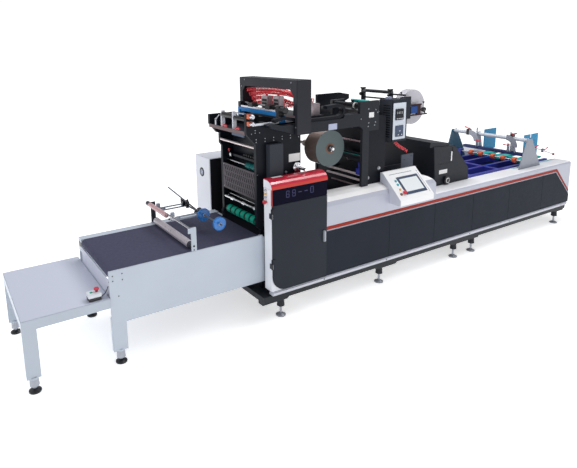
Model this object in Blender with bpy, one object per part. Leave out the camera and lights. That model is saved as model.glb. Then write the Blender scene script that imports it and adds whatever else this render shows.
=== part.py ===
"""Window patching machine: feed table, belt conveyor, patching head, film unwinds and delivery.

Metres, +Z up, +X from the feed table towards the delivery, the operator's side at -Y.
The origin lies on the floor under the middle of the machine.
"""

import math

import bmesh
import bpy
from mathutils import Matrix, Vector

# Fit
GAP = 0.0003
RUN = 0.0005

# Overall lengths along X
TABLE_END = -3.384
CONVEYOR_END = -2.740
BODY_START = -1.347
CABINET_END = -0.739
BODY_END = 3.384

# Side planes along Y
NEAR_FACE = -0.648
FAR_FACE = 0.786
HOUSING_DEPTH = 0.228

# Heights
RAIL_LOW = 0.190
RAIL_TOP = 0.242
SKIRT_TOP = 0.279
PANEL_LOW = 0.285
PANEL_TOP = 0.717
TRIM_TOP = 0.732
STRIPE_TOP = 0.763
COVER_TOP = 0.825
RAISED_TOP = 1.030
CABINET_TOP = 1.290
BELT_TOP = 0.772
BED_TOP = 0.700

# Feet
FOOT_INSET = 0.072
FOOT_DISC_R = 0.046
FOOT_STUD_R = 0.011
DAMPER_R = 0.036
FOOT_XS = (-1.211, 0.020, 1.182, 1.499, 3.220)

# Joints between the dark cover panels
SEAM_XS = (0.076, 0.747, 1.388, 2.062, 2.752)

SIDES = 24


def clear_scene():
    for obj in list(bpy.data.objects):
        bpy.data.objects.remove(obj, do_unlink=True)


def material(name, color, roughness, metallic=0.0):
    mat = bpy.data.materials.get(name)
    if mat is None:
        mat = bpy.data.materials.new(name)
        mat.use_nodes = True
        shader = mat.node_tree.nodes["Principled BSDF"]
        shader.inputs["Base Color"].default_value = (*color, 1.0)
        shader.inputs["Roughness"].default_value = roughness
        shader.inputs["Metallic"].default_value = metallic
    return mat


WHITE = ("white paint", (0.75, 0.78, 0.86), 0.35, 0.0)
PALE = ("pale blue paint", (0.48, 0.55, 0.64), 0.4, 0.0)
DARK = ("charcoal paint", (0.045, 0.05, 0.06), 0.5, 0.0)
BLACK = ("black paint", (0.02, 0.02, 0.024), 0.45, 0.0)
RED = ("red paint", (0.5, 0.02, 0.04), 0.25, 0.0)
STRIPE = ("stripe red", (0.35, 0.03, 0.012), 0.4, 0.0)
SILVER = ("silver", (0.6, 0.6, 0.62), 0.3, 0.9)
BELT = ("belt", (0.06, 0.055, 0.1), 0.7, 0.0)
GREEN = ("green sleeve", (0.005, 0.3, 0.16), 0.5, 0.0)
BLUE = ("blue plastic", (0.03, 0.16, 0.5), 0.35, 0.0)
FILM = ("film", (0.5, 0.55, 0.55), 0.3, 0.0)
NAVY = ("navy paint", (0.03, 0.045, 0.3), 0.4, 0.0)
TEAL = ("teal belt", (0.02, 0.4, 0.35), 0.5, 0.0)
ORANGE = ("orange plastic", (0.6, 0.12, 0.03), 0.4, 0.0)
LEAD = ("lead", (0.01, 0.01, 0.012), 0.5, 0.0)


def mesh_object(name, bm):
    """A helper object from a bmesh, hidden from renders until it becomes a node."""
    bmesh.ops.recalc_face_normals(bm, faces=bm.faces)
    mesh = bpy.data.meshes.new(name)
    bm.to_mesh(mesh)
    bm.free()
    obj = bpy.data.objects.new(name, mesh)
    bpy.context.scene.collection.objects.link(obj)
    obj.hide_render = True
    obj.display_type = "WIRE"
    return obj


def prism(profile, axis, start, end, bevel=0.0, segments=2):
    """The outline extruded along axis; its points are the two other axes in X, Y, Z order."""
    def place(point, along):
        values = list(point)
        values.insert("XYZ".index(axis), along)
        return values

    bm = bmesh.new()
    low = [bm.verts.new(place(point, start)) for point in profile]
    face = bm.faces.new(low)
    grown = bmesh.ops.extrude_face_region(bm, geom=[face])
    moved = [item for item in grown["geom"] if isinstance(item, bmesh.types.BMVert)]
    shift = Vector(place((0.0, 0.0), end - start))
    bmesh.ops.translate(bm, verts=moved, vec=shift)
    if bevel:
        bmesh.ops.bevel(bm, geom=bm.edges[:], offset=bevel, segments=segments, affect="EDGES")
    return mesh_object("helper", bm)


def box(low, high, bevel=0.0, segments=2):
    outline = [(low[0], low[1]), (high[0], low[1]), (high[0], high[1]), (low[0], high[1])]
    return prism(outline, "Z", low[2], high[2], bevel, segments)


def turned(profile, base, axis="Z", sides=SIDES, ring=False):
    """Points of (radius, height) turned round an axis through base; a ring's profile is a closed loop."""
    bm = bmesh.new()
    rings = []
    for radius, height in profile:
        if radius == 0:
            rings.append([bm.verts.new((0, 0, height))])
        else:
            rings.append([
                bm.verts.new((radius * math.cos(angle), radius * math.sin(angle), height))
                for angle in (2 * math.pi * (k + 0.5) / sides for k in range(sides))
            ])
    for lower, upper in zip(rings, rings[1:] + rings[:1] * ring):
        for k in range(sides):
            corners = [lower[k % len(lower)], lower[(k + 1) % len(lower)]]
            corners += [upper[(k + 1) % len(upper)], upper[k % len(upper)]]
            bm.faces.new(list(dict.fromkeys(corners)))
    for end in () if ring else (rings[0], rings[-1]):
        if len(end) > 1:
            bm.faces.new(end)
    turns = {"Z": Matrix.Identity(3), "Y": Matrix.Rotation(-math.pi / 2, 3, "X"),
             "X": Matrix.Rotation(math.pi / 2, 3, "Y")}
    bmesh.ops.transform(bm, matrix=Matrix.Translation(base) @ turns[axis].to_4x4(), verts=bm.verts)
    return mesh_object("helper", bm)


def rod(start, end, radius, sides=16):
    """A round bar between two points."""
    start, end = Vector(start), Vector(end)
    bm = bmesh.new()
    bmesh.ops.create_cone(bm, cap_ends=True, segments=sides, radius1=radius, radius2=radius,
                          depth=(end - start).length)
    turn = Vector((0, 0, 1)).rotation_difference(end - start).to_matrix().to_4x4()
    bmesh.ops.transform(bm, matrix=Matrix.Translation((start + end) / 2) @ turn, verts=bm.verts)
    return mesh_object("helper", bm)


def smooth_path(points, count):
    """Evenly spaced points on a smooth curve through the given ones."""
    points = [Vector(point) for point in points]
    padded = [2 * points[0] - points[1]] + points + [2 * points[-1] - points[-2]]
    dense = []
    for a, b, c, d in zip(padded, padded[1:], padded[2:], padded[3:]):
        for k in range(20):
            t = k / 20
            dense.append((2 * b + (c - a) * t + (2 * a - 5 * b + 4 * c - d) * t * t
                          + (3 * b - a - 3 * c + d) * t ** 3) / 2)
    dense.append(points[-1])
    lengths = [0.0]
    for first, second in zip(dense, dense[1:]):
        lengths.append(lengths[-1] + (second - first).length)
    path, index = [], 0
    for k in range(count):
        goal = lengths[-1] * k / (count - 1)
        while index < len(lengths) - 2 and lengths[index + 1] < goal:
            index += 1
        share = (goal - lengths[index]) / (lengths[index + 1] - lengths[index])
        path.append(dense[index].lerp(dense[index + 1], min(share, 1.0)))
    return path


def cord(name, look, points, diameter, count, resolution=4):
    """A round lead or hose through the points, as a curve with filled ends."""
    curve = bpy.data.curves.new(name, "CURVE")
    curve.dimensions = "3D"
    curve.bevel_depth = diameter / 2
    curve.bevel_resolution = resolution
    curve.use_fill_caps = True
    spline = curve.splines.new("POLY")
    spline.points.add(count - 1)
    for point, place in zip(spline.points, smooth_path(points, count)):
        point.co = (*place, 1.0)
    spline.use_smooth = True
    curve.materials.append(material(*look))
    obj = bpy.data.objects.new(name, curve)
    bpy.context.scene.collection.objects.link(obj)


def combine(main, others, operation):
    for other in others:
        modifier = main.modifiers.new(operation.title(), "BOOLEAN")
        modifier.operation = operation
        modifier.object = other
        modifier.solver = "EXACT"
        other.name = main.name + "_helper"


def node(name, look, pieces, cuts=(), origin=None):
    """One closed body: the first piece, with the others fused to it and the cutters taken away."""
    main = pieces[0]
    main.name = name
    main.data.name = name
    main.hide_render = False
    main.display_type = "TEXTURED"
    main.data.materials.clear()
    main.data.materials.append(material(*look))
    if origin:
        main.data.transform(Matrix.Translation(-Vector(origin)))
        main.location = origin
    combine(main, pieces[1:], "UNION")
    combine(main, cuts, "DIFFERENCE")
    for polygon in main.data.polygons:
        polygon.use_smooth = True
    main.data.set_sharp_from_angle(angle=math.radians(35))
    return main


def arc(center, radius, start_deg, end_deg, steps):
    """Points round a centre in the outline's own plane."""
    angles = [math.radians(start_deg + (end_deg - start_deg) * k / steps) for k in range(steps + 1)]
    return [(center[0] + radius * math.cos(a), center[1] + radius * math.sin(a)) for a in angles]


def levelling_foot(x, y, top):
    """A disc on a threaded stud under a rubber damper, which carries the frame at height top."""
    damper_low = top - 0.068
    profile = [(0, 0), (FOOT_DISC_R, 0), (FOOT_DISC_R, 0.010), (0.018, 0.026), (FOOT_STUD_R, 0.028),
               (FOOT_STUD_R, damper_low), (DAMPER_R, damper_low), (DAMPER_R * 0.85, top), (0, top)]
    return turned(profile, (x, y, 0), sides=14)


def feed_table():
    top, apron, sheet = 0.563, 0.080, 0.003
    near, far = -0.516, 0.458
    leg_width, leg_depth = 0.100, 0.040
    leg_low = 0.108
    join = CONVEYOR_END - GAP
    slab = box((TABLE_END, near, top - apron), (join, far, top), bevel=0.004)
    hollow = box((TABLE_END + sheet * 4, near + sheet * 4, top - apron - 0.01),
                 (join - sheet * 4, far - sheet * 4, top - sheet * 4))
    legs = []
    for low, high in ((near, near + leg_depth), (far - leg_depth, far)):
        legs.append(box((TABLE_END, low, leg_low), (TABLE_END + leg_width, high, top - sheet), bevel=0.003))
        legs.append(levelling_foot(TABLE_END + leg_width / 2, (low + high) / 2, leg_low + 0.01))
    cut_slab = node("feed_table", PALE, [slab])
    combine(cut_slab, [hollow], "DIFFERENCE")
    combine(cut_slab, legs, "UNION")


def button_box():
    x0, x1, y0, y1 = -2.896, -2.800, -0.494, -0.420
    base = 0.563 + GAP
    split, top = base + 0.027, base + 0.058
    inset = 0.002
    stop_x = -2.826
    mid_y = (y0 + y1) / 2
    lid = box((x0 - inset, y0 - inset, split - 0.001), (x1 + inset, y1 + inset, top), bevel=0.004)
    stop = turned([(0, -0.002), (0.010, -0.002), (0.010, 0.012), (0.020, 0.018), (0.018, 0.030), (0, 0.033)],
                  (stop_x, mid_y, top), sides=16)
    node("button_box", BLACK, [box((x0, y0, base), (x1, y1, split), bevel=0.003), lid, stop])
    lead = [(x1 + GAP, -0.462, 0.578), (-2.786, -0.463, 0.579), (-2.766, -0.472, 0.598),
            (-2.753, -0.480, 0.626), (CONVEYOR_END - 0.0036, -0.486, 0.652)]
    cord("button_box_lead", LEAD, lead, 0.007, 14, 2)


SIDE_NEAR, SIDE_FAR = -0.504, 0.386


def feed_conveyor():
    near, far = SIDE_NEAR, SIDE_FAR
    plate, low, top = 0.012, 0.334, 0.773
    end = BODY_START - GAP
    leg_width, leg_low = 0.116, 0.103
    rail_y = 0.302
    for name, outer, inner in (("near", near, near + plate), ("far", far, far - plate)):
        y0, y1 = sorted((outer, inner))
        side = box((CONVEYOR_END, y0, low), (end, y1, top), bevel=0.002)
        l0, l1 = sorted((outer, outer + (inner - outer) * 3.6))
        leg = box((CONVEYOR_END, l0, leg_low), (CONVEYOR_END + leg_width, l1, low + 0.05), bevel=0.003)
        foot = levelling_foot(CONVEYOR_END + leg_width / 2, (l0 + l1) / 2, leg_low + 0.01)
        pieces = [side, leg, foot]
        head_middle = {"near": HEAD_NEAR + PLATE / 2, "far": HEAD_FAR - PLATE / 2}[name]
        f0, f1 = sorted((outer, head_middle))
        pieces.append(box((end - 0.003, f0, low + 0.002), (THROAT_X - GAP, f1, top - 0.020)))
        if name == "far":
            pieces.append(box((CONVEYOR_END + 0.001, rail_y, 0.650), (end - 0.001, far - 0.002, top - 0.001)))
        node("conveyor_side_" + name, PALE, pieces)
    inner_near = near + plate + 0.002
    radius, thick = 0.040, 0.004
    start_x, end_x = CONVEYOR_END + 0.045, BODY_START - 0.052
    mid = BELT_TOP - radius
    outer_loop, inner_loop = (
        arc((start_x, mid), size, 90, 270, 10) + arc((end_x, mid), size, -90, 90, 10)
        for size in (radius, radius - thick)
    )
    belt = prism(outer_loop, "Y", inner_near + 0.004, rail_y - 0.004)
    belt_hollow = prism(inner_loop, "Y", inner_near - 0.1, 0.4)
    node("conveyor_belt", BELT, [belt], [belt_hollow])
    core = radius - thick - RUN
    far_end = rail_y - GAP
    near_end = near + plate + GAP
    bed = box((start_x, near_end, mid - 0.02), (end_x, far_end, mid + core - 0.004))
    rollers = [rod((x, near_end, mid), (x, far_end, mid), core, 20) for x in (start_x, end_x)]
    node("conveyor_bed", DARK, [bed] + rollers)


BRACKET_X, BRACKET_TOP = -2.016, 0.975
PRESS_X, PRESS_Z, PRESS_R = BRACKET_X, 0.806, 0.032
BAR_X, BAR_Z = BRACKET_X - 0.020, 0.960
WHEEL_X, WHEEL_Z, WHEEL_R = BRACKET_X + 0.296, 0.920, 0.060
WHEEL_THICK = 0.022
NEAR_WHEEL_Y, FAR_WHEEL_Y = -0.397, -0.105
AXLE_R = 0.008


def hold_down_bracket():
    near, far = SIDE_NEAR, SIDE_FAR
    half, thick, foot = 0.024, 0.008, 0.773 + GAP
    left, right = BRACKET_X - half, BRACKET_X + half
    posts = [box((left, y - thick / 2, foot), (right, y + thick / 2, BRACKET_TOP), bevel=0.001)
             for y in (near + 0.006, far - 0.006)]
    bar = rod((BAR_X, near + 0.006, BAR_Z), (BAR_X, far - 0.006, BAR_Z), 0.009)
    sleeve = rod((BAR_X - 0.010, -0.020, BAR_Z - 0.008), (BAR_X - 0.010, 0.440, BAR_Z - 0.008), 0.022)
    hook = box((left - 0.024, near + 0.002, 0.930), (left + 0.004, near + 0.010, 0.972))
    lip = box((left, near + 0.003, BRACKET_TOP - 0.006), (right, near + 0.024, BRACKET_TOP - 0.001))
    node("hold_down_bracket", SILVER, [posts[0], bar, sleeve, posts[1], hook, lip])
    start, end = near + 0.010 + RUN, far - 0.010 - RUN
    neck = 0.060
    profile = [(0, 0), (0.010, 0), (0.010, neck), (PRESS_R, neck), (PRESS_R, end - start - neck),
               (0.010, end - start - neck), (0.010, end - start), (0, end - start)]
    node("press_roller", SILVER, [turned(profile, (PRESS_X, start, PRESS_Z), "Y", 20)],
         origin=(PRESS_X, start, PRESS_Z))


def slotted_arm(start, y, low, high):
    """A flat arm along X from the bracket's bar to the wheel rod, with a slot along its middle."""
    thick = 0.004
    plate = box((start, y - thick / 2, low), (WHEEL_X + 0.012, y + thick / 2, high), bevel=0.001)
    mid = (low + high) / 2
    slot = box((start + 0.090, y - thick, mid - 0.006), (WHEEL_X - 0.050, y + thick, mid + 0.006))
    return plate, slot


def wheel_arm():
    low, high = -0.445, 0.283
    start = BAR_X + 0.0128
    far_arm, far_slot = slotted_arm(start, 0.270, 0.902, 0.942)
    near_arm, near_slot = slotted_arm(start, -0.060, 0.900, 0.940)
    pieces = [rod((WHEEL_X, low, WHEEL_Z), (WHEEL_X, high, WHEEL_Z), AXLE_R), far_arm, near_arm]
    left, right = WHEEL_X - 0.036, WHEEL_X + 0.016
    for y in (0.270, -0.060):
        pieces.append(box((start, y - 0.014, 0.916), (start + 0.034, y + 0.014, 0.984), bevel=0.003))
        pieces.append(box((left, y - 0.016, 0.906), (right, y + 0.016, 0.962), bevel=0.003))
    pieces.append(rod((WHEEL_X - 0.016, 0.648, 1.012), (WHEEL_X - 0.016, -0.070, 0.931), 0.007))
    bore = AXLE_R + 0.0007
    for name, y in (("near", NEAR_WHEEL_Y), ("far", FAR_WHEEL_Y)):
        for side in (-1, 1):
            inner = y + side * (WHEEL_THICK / 2 + RUN)
            pieces.append(rod((WHEEL_X, inner, WHEEL_Z), (WHEEL_X, inner + side * 0.010, WHEEL_Z), 0.014))
        rim, hub = WHEEL_R - 0.006, 0.018
        profile = [(bore, 0), (hub, 0), (hub, 0.004), (rim, 0.004), (WHEEL_R, 0.001),
                   (WHEEL_R, WHEEL_THICK - 0.001), (rim, WHEEL_THICK - 0.004), (hub, WHEEL_THICK - 0.004),
                   (hub, WHEEL_THICK), (bore, WHEEL_THICK)]
        base = (WHEEL_X, y - WHEEL_THICK / 2, WHEEL_Z)
        node("blue_wheel_" + name, BLUE, [turned(profile, base, "Y", SIDES, ring=True)], origin=base)
    node("wheel_arm", SILVER, pieces, [far_slot, near_slot])


def base_frame():
    near, far = NEAR_FACE + 0.018, FAR_FACE - 0.018
    beam = 0.070
    start, end = BODY_START - 0.081, BODY_END - 0.024
    outer = box((start, near, RAIL_LOW), (end, far, RAIL_TOP))
    bays = []
    bay_edges = [start] + [x for x in FOOT_XS[:3]] + [FOOT_XS[3], FOOT_XS[4]] + [end]
    for left, right in zip(bay_edges, bay_edges[1:]):
        if right - left > 0.4:
            bays.append(box((left + beam, near + beam, RAIL_LOW - 0.1),
                            (right - beam, far - beam, RAIL_TOP + 0.1)))
    upper, lower, half = RAIL_LOW + 0.010, 0.161, 0.035
    first, second, third, fourth, last = FOOT_XS
    spans = ((start, start, first + 0.050, first + 0.100),
             (second - 0.120, second - 0.070, second + 0.200, second + 0.250),
             (third - 0.100, third - 0.070, fourth + 0.070, fourth + 0.100),
             (last - 0.100, last - 0.050, end, end))
    gussets = [((a, upper), (b, lower), (c, lower), (d, upper)) for a, b, c, d in spans]
    feet = []
    for y in (NEAR_FACE + FOOT_INSET, FAR_FACE - FOOT_INSET):
        feet += [prism(gusset, "Y", y - half, y + half) for gusset in gussets]
        feet += [levelling_foot(x, y, lower + 0.004) for x in FOOT_XS]
    node("base_frame", BLACK, [outer] + feet, bays)


def side_housing(name, outer, inward):
    """One long side: housing, skirt rail, dark panels, trim and stripe, for the side whose face is at outer."""
    def ys(a, b):
        return sorted((outer + inward * a, outer + inward * b))

    start = CABINET_END + 0.002
    corner, inner_round = 0.030, 0.010
    face = 0.007
    section = [(face, SKIRT_TOP + GAP), (face, COVER_TOP - corner)]
    section += [(face + corner * (1 - math.cos(a)), COVER_TOP - corner * (1 - math.sin(a)))
                for a in (math.pi / 8, math.pi / 4, math.pi * 3 / 8)]
    section += [(face + corner, COVER_TOP), (HOUSING_DEPTH - inner_round, COVER_TOP),
                (HOUSING_DEPTH, COVER_TOP - inner_round), (HOUSING_DEPTH, SKIRT_TOP + GAP)]
    housing = prism([(outer + inward * depth, z) for depth, z in section], "X", start, BODY_END)
    rail0, rail1 = ys(-0.004, 0.060)
    rail = box((BODY_START, rail0, RAIL_TOP + GAP), (BODY_END - 0.017, rail1, SKIRT_TOP), bevel=0.008)
    node(name + "_skirt_rail", SILVER, [rail])
    alone = name == "near"
    back = face - GAP if alone else face + 0.001
    p0, p1 = ys(0.0, back)
    slant_x, slant_z = 3.040, 0.386
    panel_outline = [(start, PANEL_LOW), (BODY_END - 0.001, PANEL_LOW), (BODY_END - 0.001, slant_z),
                     (slant_x, PANEL_TOP), (start, PANEL_TOP)]
    panels = prism(panel_outline, "Y", p0, p1)
    c0, c1 = ys(-0.01, 0.004)
    seams = [box((x - 0.002, c0, PANEL_LOW - 0.1), (x + 0.002, c1, PANEL_TOP + 0.1)) for x in SEAM_XS]
    s0, s1 = ys(0.002, back)
    band = [(start, TRIM_TOP + GAP), (slant_x + 0.010, TRIM_TOP + GAP), (3.374, 0.418), (3.382, 0.436),
            (slant_x + 0.020, STRIPE_TOP), (start, STRIPE_TOP)]
    stripe = prism(band, "Y", s0, s1)
    if alone:
        node("near_housing", WHITE, [housing])
        node("near_panels", DARK, [panels], seams)
        node("near_stripe", STRIPE, [stripe])
    else:
        node("far_housing", WHITE, [housing, panels, stripe], seams)


def raised_cover():
    inner = NEAR_FACE + HOUSING_DEPTH
    front = NEAR_FACE + 0.004
    end = 0.750
    low = COVER_TOP + GAP
    yz = [(front, low), (front, 0.955), (front + 0.02, 0.990), (front + 0.07, 1.018),
          (front + 0.13, RAISED_TOP), (inner, RAISED_TOP), (inner, low)]
    cover = prism(yz, "X", CABINET_END + 0.002, end)
    r = 0.12
    over = RAISED_TOP + 0.1
    corner = [(end - r, over)] + arc((end - r, RAISED_TOP - r), r, 90, 0, 6)
    corner += [(end + 0.1, RAISED_TOP - r), (end + 0.1, over)]
    node("near_raised_cover", WHITE, [cover], [prism(corner, "Y", front - 0.1, inner + 0.1)])


HINGE_AXIS = (BODY_START - 0.008, NEAR_FACE - 0.012)
HINGE_R = 0.008
HINGE_ZS = (0.547, 1.003)


def near_cabinet():
    back = FRAME_NEAR - GAP
    face = NEAR_FACE + 0.008
    body = box((BODY_START, face, SKIRT_TOP + GAP), (CABINET_END, back, 1.212), bevel=0.004)
    hinge_x, hinge_y = HINGE_AXIS
    leaves = []
    for z in HINGE_ZS:
        leaves.append(rod((hinge_x, hinge_y, z - 0.045), (hinge_x, hinge_y, z - GAP), HINGE_R, 12))
        leaves.append(box((hinge_x, hinge_y, z - 0.045), (BODY_START + 0.003, face + 0.02, z - GAP)))
    node("near_cabinet", WHITE, [body] + leaves)
    door_front, door_back = NEAR_FACE - 0.006, face - 0.001
    left, right = BODY_START + 0.004, CABINET_END - 0.004
    r = 0.14
    outline = arc((left + r, PANEL_LOW + r), r, 180, 270, 8)
    outline += [(right, PANEL_LOW), (right, 1.070), (left, 1.070)]
    door = prism(outline, "Y", door_front, door_back)
    knuckles = []
    for z in HINGE_ZS:
        knuckles.append(rod((hinge_x, hinge_y, z), (hinge_x, hinge_y, z + 0.045), HINGE_R, 12))
        knuckles.append(box((hinge_x, hinge_y - 0.003, z), (left + 0.02, hinge_y + 0.009, z + 0.045)))
    handle = box((-0.790, door_front - 0.022, 0.639), (-0.766, door_front + 0.002, 0.743), bevel=0.004)
    node("cabinet_door", DARK, [door, handle] + knuckles, origin=(*HINGE_AXIS, PANEL_LOW))
    node("display_panel", BLACK, [box((left, door_front, 1.074), (right, face - GAP, 1.208), bevel=0.002)])
    depth = back - NEAR_FACE
    hood = [(back, 1.212 + GAP), (NEAR_FACE - 0.008, 1.212 + GAP)]
    hood += [(NEAR_FACE - 0.008 + 0.08 * (1 - math.cos(a)), 1.216 + 0.074 * math.sin(a))
             for a in (0, 0.3, 0.6, 0.9, 1.2, math.pi / 2)]
    hood += [(NEAR_FACE + depth, CABINET_TOP)]
    node("cabinet_hood", RED, [prism(hood, "X", BODY_START, CABINET_END)])


def far_cabinet():
    near = 0.458
    body = box((BODY_START, near, SKIRT_TOP + GAP), (CABINET_END, FAR_FACE, CABINET_TOP), bevel=0.006)
    node("far_cabinet", WHITE, [body])


def machine_bed():
    near, far = NEAR_FACE + HOUSING_DEPTH + 0.002, FAR_FACE - HOUSING_DEPTH - 0.002
    node("machine_bed", BLACK, [box((CABINET_END, near, RAIL_TOP + GAP), (BODY_END - 0.05, far, BED_TOP))])


# Planes of the head and the frames behind it, which are symmetric about HEAD_MID
HEAD_MID = -0.0915
HEAD_NEAR, PLATE = -0.450, 0.035
HEAD_FAR = 2 * HEAD_MID - HEAD_NEAR
FRAME_NEAR = -0.530
FRAME_FAR = 2 * HEAD_MID - FRAME_NEAR
HEAD_LEFT, THROAT_X, HEAD_RIGHT = -1.367, -1.330, -0.885
INNER_NEAR, INNER_FAR = HEAD_NEAR + PLATE + GAP, HEAD_FAR - PLATE - GAP
ARM_LOW, ARM_TOP = 1.632, 1.726
HEAD_TOP = ARM_TOP + 0.009
FILM_X, FILM_Z, FILM_R = -0.492, 1.428, 0.176


def patching_head():
    low = RAIL_TOP + GAP
    throat_low, throat_top = 0.800, 0.830
    near = [(THROAT_X, low), (HEAD_RIGHT, low), (HEAD_RIGHT, HEAD_TOP), (-1.375, HEAD_TOP), (-1.385, 1.845),
            (-1.459, 1.845), (-1.459, 1.672), (HEAD_LEFT, 1.573), (HEAD_LEFT, throat_top), (THROAT_X, throat_low)]
    plate = prism(near, "Y", HEAD_NEAR, HEAD_NEAR + PLATE)
    motor_box = box((-1.264, HEAD_NEAR - 0.055, 1.050), (-1.115, HEAD_NEAR + 0.001, 1.570), bevel=0.004)
    hub_x, hub_z = -0.940, 1.322
    hub = turned([(0, 0), (0.014, 0), (0.014, 0.120), (0.046, 0.124), (0.046, 0.152), (0, 0.152)],
                 (hub_x, HEAD_NEAR - 0.150, hub_z), "Y", 20)
    node("head_plate_near", BLACK, [plate, motor_box, hub])
    far = [(THROAT_X, low), (HEAD_RIGHT, low), (HEAD_RIGHT, HEAD_TOP), (-1.130, HEAD_TOP), (-1.150, 1.780),
           (-1.447, 1.780), (-1.447, 1.690), (-1.370, 1.598), (-1.338, 1.596), (-1.338, 1.492), (-1.315, 1.462),
           (-1.315, throat_top), (THROAT_X, throat_low)]
    beam = box((-1.020, HEAD_FAR - 0.002, ARM_LOW), (-0.060 - GAP, FRAME_FAR, 1.700))
    hanger = box((FILM_X - 0.060, HEAD_FAR, 1.370), (FILM_X + 0.060, HEAD_FAR + 0.030, ARM_LOW + 0.010))
    node("head_plate_far", BLACK, [prism(far, "Y", HEAD_FAR - PLATE, HEAD_FAR), beam, hanger])
    head_body()
    guard()


def head_body():
    """The block between the side plates, with the tray above it and the fixed rods in front of it."""
    front, back = -1.200, -0.900
    block = box((front, INNER_NEAR, 0.930), (back, INNER_FAR, 1.668))
    ledge = box((-1.262, INNER_NEAR, 1.372), (front + 0.002, INNER_FAR, 1.392))
    tray_left, tray_right, tray_low, sheet = -1.455, front + 0.002, 1.660, 0.006
    tray_outline = [(tray_left, tray_low), (tray_right, tray_low), (tray_right, tray_low + sheet),
                    (tray_left + sheet, tray_low + sheet), (tray_left + sheet, 1.692), (tray_left, 1.692)]
    pieces = [block, ledge, prism(tray_outline, "Y", INNER_NEAR, INNER_FAR)]
    for x, z, radius in ((-1.330, 1.530, 0.012), (-1.300, 0.955, 0.012), (-1.270, 0.985, 0.007)):
        pieces.append(rod((x, INNER_NEAR, z), (x, INNER_FAR, z), radius, 12))
        half = radius * 0.6
        pieces.append(box((x, INNER_FAR - 0.012, z - half), (front + 0.003, INNER_FAR - 0.001, z + half)))
    for k in range(3):
        y = -0.330 + 0.200 * k
        pieces.append(rod((-1.300, y - 0.024, 0.955), (-1.300, y + 0.024, 0.955), 0.020))
    node("head_body", BLACK, pieces)


GUARD_X, GUARD_LOW, GUARD_TOP = -1.312, 1.045, 1.296


def guard():
    """A sheet with four staggered rows of slanted slots."""
    sheet = box((GUARD_X - 0.003, INNER_NEAR, GUARD_LOW), (GUARD_X, INNER_FAR, GUARD_TOP))
    rows, columns, pitch, row_pitch = 4, 16, 0.037, 0.057
    half_width, half_height, lean = 0.006, 0.023, 0.010
    flange = 0.030
    bm = bmesh.new()
    first = INNER_NEAR + flange
    for row in range(rows):
        z = GUARD_LOW + 0.040 + row_pitch * row
        for column in range(columns):
            y = first + pitch * (column + 0.5 * (row % 2))
            corners = [(y - half_width - lean, z - half_height), (y + half_width - lean, z - half_height),
                       (y + half_width + lean, z + half_height), (y - half_width + lean, z + half_height)]
            face = bm.faces.new([bm.verts.new((GUARD_X - 0.010, *corner)) for corner in corners])
            grown = bmesh.ops.extrude_face_region(bm, geom=[face])
            moved = [item for item in grown["geom"] if isinstance(item, bmesh.types.BMVert)]
            bmesh.ops.translate(bm, verts=moved, vec=(0.017, 0, 0))
    node("head_guard", DARK, [sheet], [mesh_object("slots", bm)])


ROLLER_X, ROLLER_Z, ROLLER_R = -1.285, 0.834, 0.040
GLUE_X, GLUE_Z, GLUE_R = -1.262, 1.322, 0.030


def sleeved_roller(name, x, z, radius, near, far, sleeve_near, sleeve_far, count):
    """A shaft along Y between the side plates, with a row of sleeves on it; it turns about its own axis."""
    shaft = radius * 0.3
    pitch = (sleeve_far - sleeve_near) / count
    start, groove = sleeve_near - near, radius * 0.85
    profile = [(0, 0), (shaft, 0), (shaft, start)]
    for k in range(count):
        at = start + pitch * k
        after = at + pitch - 0.010
        profile += [(groove, at), (radius, at + 0.004), (radius, after - 0.004), (groove, after)]
    end = start + pitch * count
    profile += [(groove, end), (shaft, end), (shaft, far - near), (0, far - near)]
    node(name, GREEN, [turned(profile, (x, near, z), "Y", 20)], origin=(x, near, z))


def head_rollers():
    near, far = HEAD_NEAR + PLATE + RUN, HEAD_FAR - PLATE - RUN
    sleeved_roller("infeed_roller", ROLLER_X, ROLLER_Z, ROLLER_R, near, far, -0.400, 0.196, 7)
    sleeved_roller("glue_roller", GLUE_X, GLUE_Z, GLUE_R, near, far, -0.402, -0.130, 3)


LEG_LEFT, LEG_RIGHT = -1.012, -0.854
PORTAL_RISE = 0.382
PORTAL_TOP = ARM_TOP + PORTAL_RISE
PORTAL_NEAR = -0.565
PORTAL_FAR = 2 * HEAD_MID - PORTAL_NEAR


def portal():
    beam, leg, thin = 0.085, 0.058, 0.0345
    cross = box((LEG_LEFT, PORTAL_NEAR, PORTAL_TOP - beam), (LEG_RIGHT, PORTAL_FAR, PORTAL_TOP), bevel=0.003)
    pieces = [cross]
    for outer, inward in ((PORTAL_NEAR, 1), (PORTAL_FAR, -1)):
        a, b = sorted((outer, outer + inward * thin))
        pieces.append(box((LEG_LEFT, a, ARM_LOW), (LEG_RIGHT, b, PORTAL_TOP - 0.010), bevel=0.003))
        a, b = sorted((outer + inward * 0.010, outer + inward * leg))
        pieces.append(box((LEG_LEFT, a, 1.800), (LEG_RIGHT, b, PORTAL_TOP - 0.010), bevel=0.003))
        inner = outer + inward * (leg - 0.002)
        gusset = [(inner, PORTAL_TOP - beam - 0.050), (inner, PORTAL_TOP - beam + 0.010),
                  (inner + inward * 0.055, PORTAL_TOP - beam + 0.010)]
        for x in (LEG_LEFT, LEG_RIGHT - 0.004):
            pieces.append(prism(gusset, "X", x, x + 0.004))
    node("portal", BLACK, pieces)


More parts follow.
